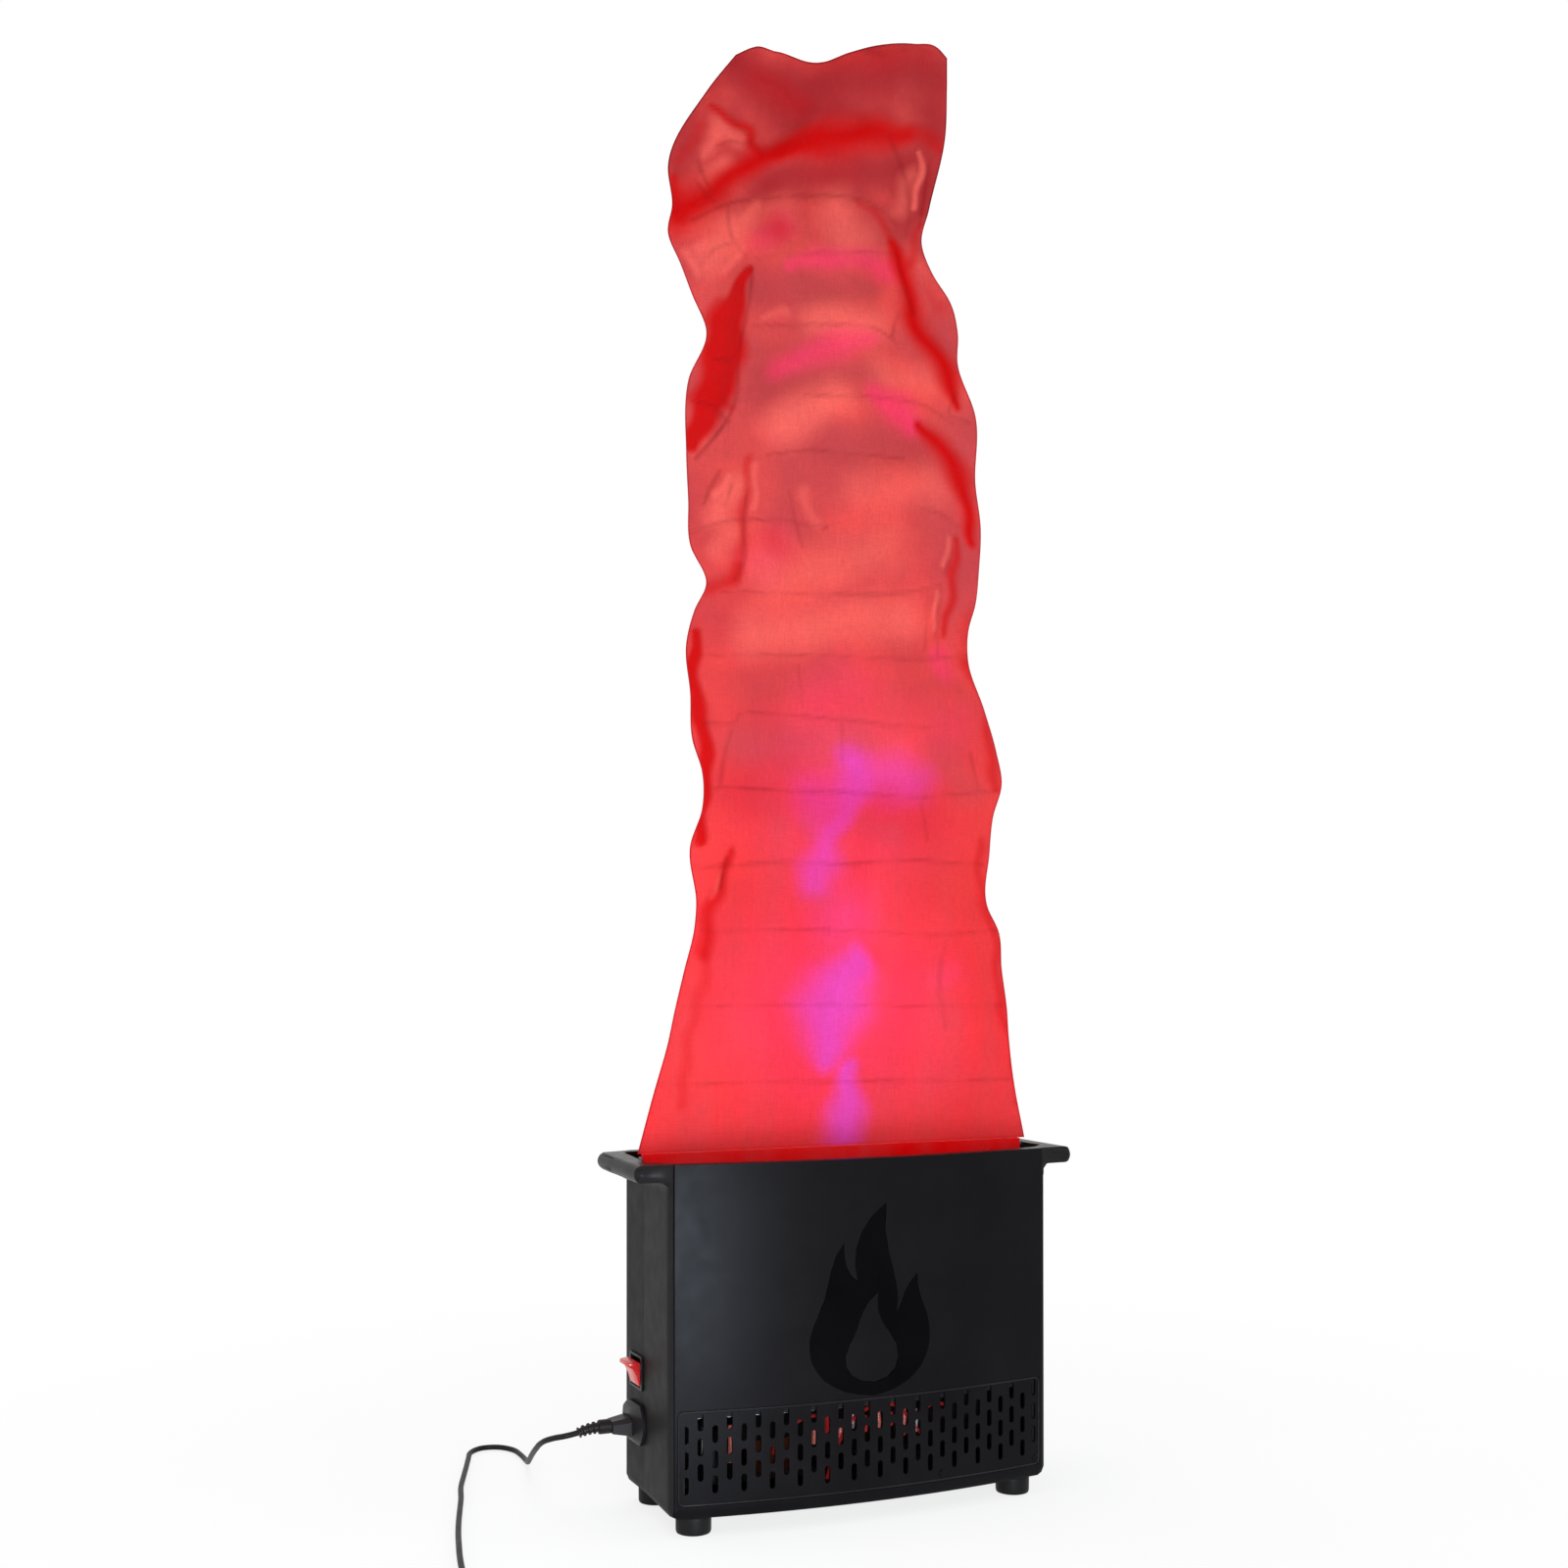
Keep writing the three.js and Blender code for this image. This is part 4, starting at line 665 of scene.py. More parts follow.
class Paint(Enum):
    """Every finish on the light, with the record's slot that it belongs to."""

    # Painted light: the silk and its hem are white, and all their reds are painted lamp light
    SILK = ("silk", Cloth("silk_lit"))
    SILK_EDGE = ("silk", Cloth("silk_edge", shade(176, 30, 38), shaded=shade(110, 12, 22),
                               low=shade(196, 28, 34), marked=False))
    HEM = ("hem", Cloth("silk_hem_lit_red", shade(224, 0, 4), shaded=shade(196, 0, 4), low=shade(226, 0, 4),
                        marked=False))
    # Painted light: the shell is as black as the panel, and its greyer colour stands in for the light on its
    # sides
    SHELL = ("shell", Moulded("shell_black", shade(29, 27, 27), 0.45, 0.042, 0.05, 0.7, 0.07,
                              rim_height=0.304, rim_polish=0.16))
    PANEL = ("panel", Moulded("panel_black", shade(9, 7, 9), 0.36, 0.07, 0.02, 0.5, 0.12))
    GRILLE = ("grille", Moulded("grille_black", shade(9, 7, 9), 0.36, 0.07, 0.02, 0.5))
    EMBLEM = ("emblem", Moulded("emblem_gloss", shade(4, 3, 4), 0.3, 0.02, 0.004, 0.8, 0.1))
    RUBBER = ("rubber", Moulded("rubber_black", shade(17, 16, 16), 0.5, 0.12, 0.04, 0.5))
    SCREW = ("screws", Metal("screw_black", shade(30, 29, 30), 0.4, (1, 1, 1)))
    SWITCH = ("switch", Moulded("switch_black", shade(26, 24, 26), 0.3, 0.12, 0.02, 0.4))
    # Painted light: the second, paler red is the painted sheen on the rocker's edges
    ROCKER = ("rocker", ClearRed("rocker_red", shade(150, 8, 12), shade(214, 70, 62)))
    CORD = ("cord", Moulded("cord_vinyl", shade(22, 17, 17), 0.45, 0.14, 0.02, 0.5))
    CONNECTOR = ("cord", Moulded("connector_vinyl", shade(30, 25, 24), 0.42, 0.16, 0.04, 0.6))
    BRASS = ("pins", Metal("pin_brass", shade(196, 160, 96), 0.25))
    ALUMINIUM = ("aluminium", Metal("bare_aluminium", shade(196, 198, 202), 0.35, (1, 12, 1)))
    FAN = ("fan", Moulded("fan_black", shade(14, 14, 15), 0.5, 0.1))
    STEEL = ("steel", Metal("plated_steel", shade(150, 152, 156), 0.3, (1, 1, 1)))
    CIRCUIT = ("circuit", CircuitBoard("green_board"))
    LENS = ("lens", Moulded("reflector_white", shade(232, 236, 240), 0.15, 0.6, 0.01, 0.8, 0.05, 0.6))
    LAMP_RED = ("lens", Glow("lamp_red", shade(255, 60, 50)))
    LAMP_VIOLET = ("lens", Glow("lamp_violet", shade(220, 70, 230)))
    COPPER = ("copper", Metal("varnished_copper", shade(128, 72, 48), 0.35, (6, 1, 1)))
    SLEEVE = ("sleeve", Moulded("capacitor_sleeve", shade(24, 28, 40), 0.3, 0.5, 0.01))
    # Painted light: the wire's glow stands in for red lamp light falling on it
    RED_WIRE = ("copper", Moulded("wire_red", shade(168, 34, 36), 0.35, 0.3, 0.02, 0.5, 0.2, glow=0.25))
    # Painted light: bare metal lit pink by the red lamps, with a painted glow
    ROSE_METAL = ("copper", Metal("red_lit_metal", shade(226, 150, 138), 0.3, (1, 1, 8), 0.22,
                                  shade(220, 120, 110)))

    def __init__(self, slot: str, recipe: object) -> None:
        """Keeps the slot in the record and the recipe of the finish."""
        self.slot = slot
        self.recipe = recipe

    @property
    def material(self) -> bpy.types.Material:
        """Returns the built material, made once."""
        ready = bpy.data.materials.get(self.recipe.name)
        return ready if ready else self.recipe.build()


@dataclass(frozen=True)
class Bullnose:
    """The round edges and ends of the handle lips beside the body."""

    inner: float = 178
    root: float = 186
    outer: float = 214
    taper: float = 4.5
    front: float = -57.25
    back: float = 72.75
    low: float = 303
    high: float = 318
    made_radius: float = 6
    radius: float = 8
    reach: float = 13
    fade: float = 10
    levels: int = 10
    widest: float = 80
    slack: float = 0.1

    def holds(self, face: bmesh.types.BMFace) -> bool:
        """Tells whether a face lies on one of the lips."""
        inner, low = self.inner * MM, (self.low - self.fade) * MM
        return all(abs(end.co.x) > inner and end.co.z > low for end in face.verts)

    def shift(self, x: float, y: float, z: float) -> Vector:
        """Works out how far a place moves to lie on the round edge.

        Args:
            x: Place across the light.
            y: Place along its depth.
            z: Height.

        Returns:
            The shift in millimetres.
        """
        half = (self.high - self.low) / 2
        rise = min(abs(z - (self.low + half)), half)
        inset = self.radius - math.sqrt(self.radius ** 2 - rise ** 2)
        made = max(0, rise - (half - self.made_radius))
        made_inset = self.made_radius - math.sqrt(self.made_radius ** 2 - made ** 2)
        plan = self.outer - self.taper * (y - self.front) / (self.back - self.front)
        edge = min(plan, self.outer - made_inset)
        beside = min(1, max(0, 1 - (edge - abs(x)) / self.reach))
        inwards = max(0, edge - (plan - inset)) * beside * (z > self.low - self.slack)
        share = smooth(self.inner, self.root, abs(x)) * smooth(self.low - self.fade, self.low, z)
        ahead = min(1, max(0, 1 - (y - self.front) / self.reach))
        behind = min(1, max(0, 1 - (self.back - y) / self.reach))
        return Vector((-math.copysign(inwards, x), inset * share * (ahead - behind), 0))

    def form(self, shape: bmesh.types.BMesh) -> None:
        """Rounds the lips of one shell.

        Args:
            shape: The shell's mesh.
        """
        half = (self.high - self.low) / 2
        for level in range(self.levels + 1):
            turn = math.radians(self.widest * (2 * level / self.levels - 1))
            height = self.low + half + half * math.sin(turn)
            faces = [face for face in shape.faces if self.holds(face)]
            edges = {edge for face in faces for edge in face.edges}
            corners = {corner for face in faces for corner in face.verts}
            bmesh.ops.bisect_plane(shape, geom=[*corners, *edges, *faces], dist=CUT,
                                   plane_co=(0, 0, height * MM), plane_no=(0, 0, 1))
        for corner in shape.verts:
            corner.co += self.shift(*(corner.co / MM)) * MM


@dataclass(frozen=True)
class Copy:
    """A fuller copy of a node, with rounded edges and a finish of its own."""

    node: str
    name: str
    paint: Paint
    rounding: float
    segments: int = 2
    sharp: float = 28


def skin(shape: bmesh.types.BMesh, rings: Sequence[Sequence[bmesh.types.BMVert]], sides: int) -> None:
    """Lays faces from ring to ring, where a ring of one corner is a tip.

    Args:
        shape: The working mesh.
        rings: Its rings of corners.
        sides: Steps round.
    """
    for low, high in zip(rings, rings[1:]):
        for step in range(sides):
            after = (step + 1) % sides
            corners = dict.fromkeys((low[step % len(low)], low[after % len(low)],
                                     high[after % len(high)], high[step % len(high)]))
            if len(corners) > 2:
                shape.faces.new(list(corners))


def thicken(shape: bmesh.types.BMesh, depth: float) -> None:
    """Gives the flat faces of a working mesh their thickness.

    Args:
        shape: The working mesh.
        depth: How far back the other side lies, in millimetres.
    """
    grown = bmesh.ops.extrude_face_region(shape, geom=list(shape.faces), use_keep_orig=True)
    moved = [item for item in grown["geom"] if isinstance(item, bmesh.types.BMVert)]
    bmesh.ops.translate(shape, vec=(0, depth * MM, 0), verts=moved)


def round_off(shape: bmesh.types.BMesh, edges: Iterable[bmesh.types.BMEdge], width: float,
              segments: int) -> None:
    """Rounds edges of a working mesh by a width in millimetres, in so many steps."""
    bmesh.ops.bevel(shape, geom=list(edges), offset=width * MM, segments=segments, profile=0.5,
                    affect="EDGES", clamp_overlap=True)


class Workshop:
    """Makes pieces, dresses them and hands them to the frame."""

    # Faces of a node that turn less than this, in degrees, are one flat face
    flat = 0.5

    def __init__(self, frame: dict) -> None:
        self.frame = frame

    def node(self, name: str) -> bpy.types.Object:
        """Returns a node of the frame by name."""
        return self.frame["nodes"][name]

    def keep(self, mesh: bpy.types.Mesh, name: str) -> bpy.types.Object:
        """Puts a mesh in the scene under a name."""
        mesh.name = name
        return stand(name, mesh)

    def from_bmesh(self, shape: bmesh.types.BMesh, name: str, crisp: float = 35) -> bpy.types.Object:
        """Turns a working mesh into a piece with smooth faces and crisp edges.

        Args:
            shape: The working mesh, which is freed.
            name: Name of the piece.
            crisp: Angle in degrees above which an edge stays crisp.

        Returns:
            The new object.
        """
        bmesh.ops.recalc_face_normals(shape, faces=shape.faces)
        mesh = bpy.data.meshes.new(name)
        shape.to_mesh(mesh)
        shape.free()
        mesh.polygons.foreach_set("use_smooth", [True] * len(mesh.polygons))
        mesh.set_sharp_from_angle(angle=math.radians(crisp))
        return self.keep(mesh, name)

    def refined(self, copy: Copy, ends: Bullnose | None = None) -> bpy.types.Object:
        """Makes a fuller copy of a node, with its crisp edges rounded.

        Args:
            copy: What is copied, and how.
            ends: Round ends of the lips, if the node has them.

        Returns:
            The new object.
        """
        shape = bmesh.new()
        shape.from_mesh(self.node(copy.node).data)
        bmesh.ops.remove_doubles(shape, verts=shape.verts, dist=JOIN)
        bmesh.ops.dissolve_limit(shape, angle_limit=math.radians(self.flat), verts=shape.verts,
                                 edges=shape.edges)
        if ends:
            ends.form(shape)
        crisp = [edge for edge in shape.edges
                 if len(edge.link_faces) == 2 and edge.calc_face_angle(0) > math.radians(copy.sharp)]
        round_off(shape, crisp, copy.rounding, copy.segments)
        piece = self.from_bmesh(shape, copy.name, crisp=50)
        weighted = piece.modifiers.new("even_shading", "WEIGHTED_NORMAL")
        weighted.keep_sharp = True
        return piece

    def turned(self, name: str, profile: Sequence[tuple[float, float]], place: Point, axis: Point = (0, 0, 1),
               sides: int = 48) -> bpy.types.Object:
        """Turns a profile round an axis.

        Args:
            name: Name of the piece.
            profile: Radius and height pairs, closed from axis to axis.
            place: Where the profile's zero lies.
            axis: Direction of its heights.
            sides: Steps round.

        Returns:
            The new object.
        """
        shape = bmesh.new()
        rings = []
        for radius, height in profile:
            if radius <= 0:
                rings.append([shape.verts.new((0, 0, height * MM))])
                continue
            ring = []
            for step in range(sides):
                angle = 2 * math.pi * step / sides
                x, y = radius * MM * math.cos(angle), radius * MM * math.sin(angle)
                ring.append(shape.verts.new((x, y, height * MM)))
            rings.append(ring)
        skin(shape, rings, sides)
        turn = Vector((0, 0, 1)).rotation_difference(Vector(axis)).to_matrix().to_4x4()
        bmesh.ops.transform(shape, matrix=Matrix.Translation(Vector(place) * MM) @ turn, verts=shape.verts)
        return self.from_bmesh(shape, name, crisp=40)

    def tube(self, name: str, route: Sequence[Vector], radii: Sequence[float],
             sides: int = 16) -> bpy.types.Object:
        """Sweeps a round section along a route.

        Args:
            name: Name of the piece.
            route: Points in millimetres.
            radii: Radius at each point.
            sides: Steps round.

        Returns:
            The new object.
        """
        shape = bmesh.new()
        across = Vector((0, 0, 1)).cross(route[1] - route[0])
        if across.length < JOIN:
            across = Vector((1, 0, 0))
        rings = []
        for index, point in enumerate(route):
            ahead = route[min(index + 1, len(route) - 1)] - route[max(index - 1, 0)]
            ahead.normalize()
            across = (across - ahead * across.dot(ahead)).normalized()
            up = ahead.cross(across)
            ring = []
            for step in range(sides):
                angle = 2 * math.pi * step / sides
                place = point + (across * math.cos(angle) + up * math.sin(angle)) * radii[index]
                ring.append(shape.verts.new(place * MM))
            rings.append(ring)
        skin(shape, rings, sides)
        shape.faces.new(rings[0])
        shape.faces.new(reversed(rings[-1]))
        return self.from_bmesh(shape, name, crisp=50)

    def dress(self, piece: bpy.types.Object, paint: Paint, body: Body = Body.HOUSING,
              nodes: Iterable[str] = ()) -> bpy.types.Object:
        """Gives a piece its finish and its body, and hides the nodes that it stands for.

        Args:
            piece: The piece.
            paint: Its finish.
            body: The body that it rides on.
            nodes: Nodes that it replaces.

        Returns:
            The same piece.
        """
        piece.data.materials.clear()
        piece.data.materials.append(paint.material)
        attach(piece, body.value)
        if nodes:
            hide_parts(*nodes)
        LOG.info("%s: %s", piece.name, paint.name.lower())
        return piece

    def copy(self, copy: Copy, ends: Bullnose | None = None) -> bpy.types.Object:
        """Makes a fuller copy of a node, and dresses it to stand for that node."""
        return self.dress(self.refined(copy, ends), copy.paint, nodes=(copy.node,))

    def paint_node(self, name: str, paint: Paint) -> None:
        """Gives a node of the frame a better finish.

        Args:
            name: Node of the frame.
            paint: Its finish.
        """
        node = self.node(name)
        if not node.material_slots:
            node.data.materials.append(paint.material)
        for slot in node.material_slots:
            slot.material = paint.material
        LOG.info("%s: %s", name, paint.name.lower())


@dataclass(frozen=True)
class Softbox:
    """One square softbox: where it hangs, where it points, its width, its watts and its colour."""

    name: str
    place: Point
    target: Point
    size: float
    power: float
    colour: Colour = WHITE

    def hang(self) -> None:
        """Hangs the softbox out of the camera's sight."""
        data = bpy.data.lights.new(self.name, "AREA")
        data.size = self.size * MM
        data.energy = self.power
        data.color = self.colour
        lamp = stand(self.name, data)
        lamp.visible_camera = False
        lamp.location = Vector(self.place) * MM
        aim = (Vector(self.target) - Vector(self.place)).normalized()
        lamp.rotation_euler = aim.to_track_quat("-Z", "Y").to_euler()


@dataclass
class Studio:
    """Camera, lights, floor and surroundings."""

    camera_place: Point = (-727.5, -1579.0, 500.2)
    camera_turn: float = -23.1
    lens: float = 43.646
    sensor: float = 36
    shift: float = 0.10625
    sight: float = 60000
    world_light: float = 0.62
    floor_half: float = 9000
    floor_drop: float = 0.5
    floor_cells: float = 3
    floor_spread: Spread = (0.3, 0.7)
    floor_darker: Colour = (0.9, 0.9, 0.9)
    floor_lighter: Colour = (0.94, 0.94, 0.94)
    shadow_reach: Spread = (0.35, 1.1)
    near_white: float = 0.8
    softboxes: tuple[Softbox, ...] = (
        Softbox("front_box", (-330, -2150, 400), (-150, -60, 170), 650, 9, (0.86, 0.92, 1.0)),
        Softbox("low_strip", (-225, -800, 118), (-225, 0, 118), 215, 5.3, (0.72, 0.84, 1.0)),
        Softbox("left_box", (-2300, -500, 500), (0, 0, 250), 1200, 13.5, (1.0, 0.97, 0.94)),
        Softbox("right_box", (2200, -1300, 1700), (0, 0, 600), 1400, 9),
        Softbox("top_box", (-300, 300, 3200), (0, 0, 500), 1600, 26),
    )

    def set_camera(self) -> None:
        """Places the camera where the photograph was taken."""
        data = bpy.data.cameras.new("camera")
        data.lens = self.lens
        data.sensor_width = self.sensor
        data.shift_y = self.shift
        data.clip_end = self.sight * MM
        camera = stand("camera", data)
        camera.location = Vector(self.camera_place) * MM
        camera.rotation_euler = (math.radians(90), 0, math.radians(self.camera_turn))
        bpy.context.scene.camera = camera

    def set_world(self) -> None:
        """Makes a white surrounding that lights plainly."""
        nodes = Nodes("studio", bpy.data.worlds, "ShaderNodeOutputWorld")
        plain = nodes.plain("ShaderNodeBackground", Color=WHITE, Strength=self.world_light)
        white = nodes.plain("ShaderNodeBackground", Color=WHITE, Strength=1.0)
        bpy.context.scene.world = nodes.finish(nodes.layer(nodes.background(), plain, white))

    def floor_finish(self) -> bpy.types.Material:
        """Lays out the floor's finish, which is pale where light falls and white further out.

        Returns:
            The material.
        """
        nodes = Nodes("floor_pale")
        cloud = nodes.noise(self.floor_cells, 2)
        tint = nodes.blend(nodes.span(cloud, *self.floor_spread), self.floor_darker, self.floor_lighter)
        flat = nodes.plain("ShaderNodeBsdfDiffuse", Color=tint)
        light = nodes.plain("ShaderNodeEmission", Color=WHITE, Strength=1.0)
        distance = nodes.add("ShaderNodeVectorMath", operation="LENGTH")
        nodes.feed(distance.inputs[0], nodes.place)
        far = nodes.span(distance.outputs["Value"], *self.shadow_reach, self.near_white, 1.0)
        share = nodes.sum("MULTIPLY", nodes.background(), far)
        return nodes.finish(nodes.layer(share, flat, light))

    def set_floor(self) -> None:
        """Lays a pale floor that keeps the object's shadow."""
        half, height = self.floor_half * MM, -self.floor_drop * MM
        mesh = bpy.data.meshes.new("floor")
        corners = [(-half, -half, height), (half, -half, height), (half, half, height), (-half, half, height)]
        mesh.from_pydata(corners, [], [(0, 1, 2, 3)])
        mesh.materials.append(self.floor_finish())
        stand("floor", mesh)

    def build(self) -> None:
        """Sets up the whole studio."""
        bpy.context.scene.view_settings.view_transform = "Standard"
        self.set_camera()
        self.set_world()
        self.set_floor()
        for softbox in self.softboxes:
            softbox.hang()


@dataclass
class MainsCord:
    """The mains cord: one run from the strain relief, along the ground, into a coil with its tie and plug."""

    diameter: float = 5.2
    gap: float = 0.5
    coil_turns: int = 5
    climb_turns: float = 0.5
    coil_mean_radius: float = 31
    steps_per_turn: int = 24
    coil_centre: tuple[float, float] = (-408.6, -132)
    tie_thickness: float = 1
    clearance: float = 0.3
    tail_length: float = 22
    relief_end: Point = (-232.9, 45.5, 72.0)
    relief_bite: float = 0.6
    first_drop: float = 0.9
    smooth_steps: int = 5
    round_steps: int = 3
    far_end: tuple[Copy, ...] = (
        Copy("coil_tie", "cord_tie", Paint.RUBBER, 0.3, 1),
        Copy("mains_plug", "plug_body", Paint.CONNECTOR, 1.2, 3),
        Copy("plug_blade_left", "blade_left", Paint.BRASS, 0.3, 1),
        Copy("plug_blade_right", "blade_right", Paint.BRASS, 0.3, 1),
        Copy("plug_earth_pin", "earth_pin", Paint.BRASS, 0.5),
    )
    route: tuple[Point, ...] = (
        (-246, 46, 70), (-252.8, 53, 67.5), (-257.8, 63, 63.5), (-258.9, 77, 57.5), (-257.1, 97, 48.4),
        (-253.2, 121, 38.4), (-248.4, 147, 27.4), (-242.6, 175, 16.3), (-236.5, 201, 8), (-231.8, 224, 3.4),
        (-230.8, 245, 3), (-233, 268, 3), (-244, 284, 3), (-260, 287, 3), (-274, 275, 3), (-282.5, 251, 3),
        (-292, 221, 3), (-302, 190, 3), (-312, 158, 3), (-320, 124, 3), (-329, 90.5, 3), (-338, 57, 3),
        (-346.5, 23, 3), (-354, -10.6, 3), (-361, -44, 3), (-366.6, -76, 3), (-368.3, -92, 3.4),
    )

    def coil(self) -> list[Vector]:
        """Winds the coil, in two layers.

        Returns:
            The coil's points.
        """
        pitch = self.diameter + self.gap
        low = self.tie_thickness + self.clearance + self.diameter / 2
        outer = self.coil_mean_radius + pitch * self.coil_turns / 4
        first = (self.coil_turns - self.climb_turns) / 2
        points = []
        for step in range(self.coil_turns * self.steps_per_turn + 1):
            turn = step / self.steps_per_turn
            radius = outer - pitch * min(turn, self.coil_turns - turn)
            angle = -turn * 2 * math.pi
            x = self.coil_centre[0] + radius * math.cos(angle)
            y = self.coil_centre[1] + radius * math.sin(angle)
            points.append(Vector((x, y, low + smooth(first, first + self.climb_turns, turn) * pitch)))
        return points

    def run(self) -> list[Vector]:
        """Lays the whole cord, from its exit to its plug.

        Returns:
            The cord's points.
        """
        coil = self.coil()
        start = coil[0]
        exit_point = Vector(self.relief_end) - Vector((self.relief_bite, 0, 0))
        knots = [exit_point, exit_point + Vector((-self.diameter, 0, -self.first_drop))]
        knots += [Vector(point) for point in self.route]
        knots += [start + Vector((0, 2 * self.diameter, 0)), start + Vector((0, self.diameter, 0))]
        points = centripetal(knots, self.smooth_steps)
        last = coil[-1]
        tail = [last + Vector((0, -share * self.tail_length, 0)) for share in (0.5, 1)]
        return points + coil + tail

    def build(self, shop: Workshop) -> None:
        """Makes the cord and what goes with it.

        Args:
            shop: The workshop.
        """
        points = self.run()
        curve = bpy.data.curves.new("mains_cord", "CURVE")
        curve.dimensions = "3D"
        curve.bevel_depth = self.diameter / 2 * MM
        curve.bevel_resolution = self.round_steps
        curve.use_fill_caps = True
        spline = curve.splines.new("POLY")
        spline.points.add(len(points) - 1)
        for knot, point in zip(spline.points, points):
            knot.co = (*(point * MM), 1)
        spline.use_smooth = True
        cord = shop.dress(stand("mains_cord", curve), Paint.CORD, nodes=("cord_lead", "cord_coil"))
        pieces = [shop.copy(copy) for copy in self.far_end]


def centripetal(knots: Sequence[Vector], steps: int) -> list[Vector]:
    """Runs a smooth curve through points, without overshoot.

    Args:
        knots: The points.
        steps: Steps between neighbours.

    Returns:
        The curve's points, without the last knot.
    """
    padded = [knots[0] * 2 - knots[1], *knots, knots[-1] * 2 - knots[-2]]
    points = []
    for a, b, c, d in zip(padded, padded[1:], padded[2:], padded[3:]):
        times = [0.0]
        for one, other in ((a, b), (b, c), (c, d)):
            times.append(times[-1] + max(LEAST_STEP, (other - one).length ** 0.5))
        t0, t1, t2, t3 = times
        for step in range(steps):
            t = t1 + (t2 - t1) * step / steps
            a1 = a * ((t1 - t) / (t1 - t0)) + b * ((t - t0) / (t1 - t0))
            a2 = b * ((t2 - t) / (t2 - t1)) + c * ((t - t1) / (t2 - t1))
            a3 = c * ((t3 - t) / (t3 - t2)) + d * ((t - t2) / (t3 - t2))
            b1 = a1 * ((t2 - t) / (t2 - t0)) + a2 * ((t - t0) / (t2 - t0))
            b2 = a2 * ((t3 - t) / (t3 - t1)) + a3 * ((t - t1) / (t3 - t1))
            points.append(b1 * ((t2 - t) / (t2 - t1)) + b2 * ((t - t1) / (t2 - t1)))
    return points


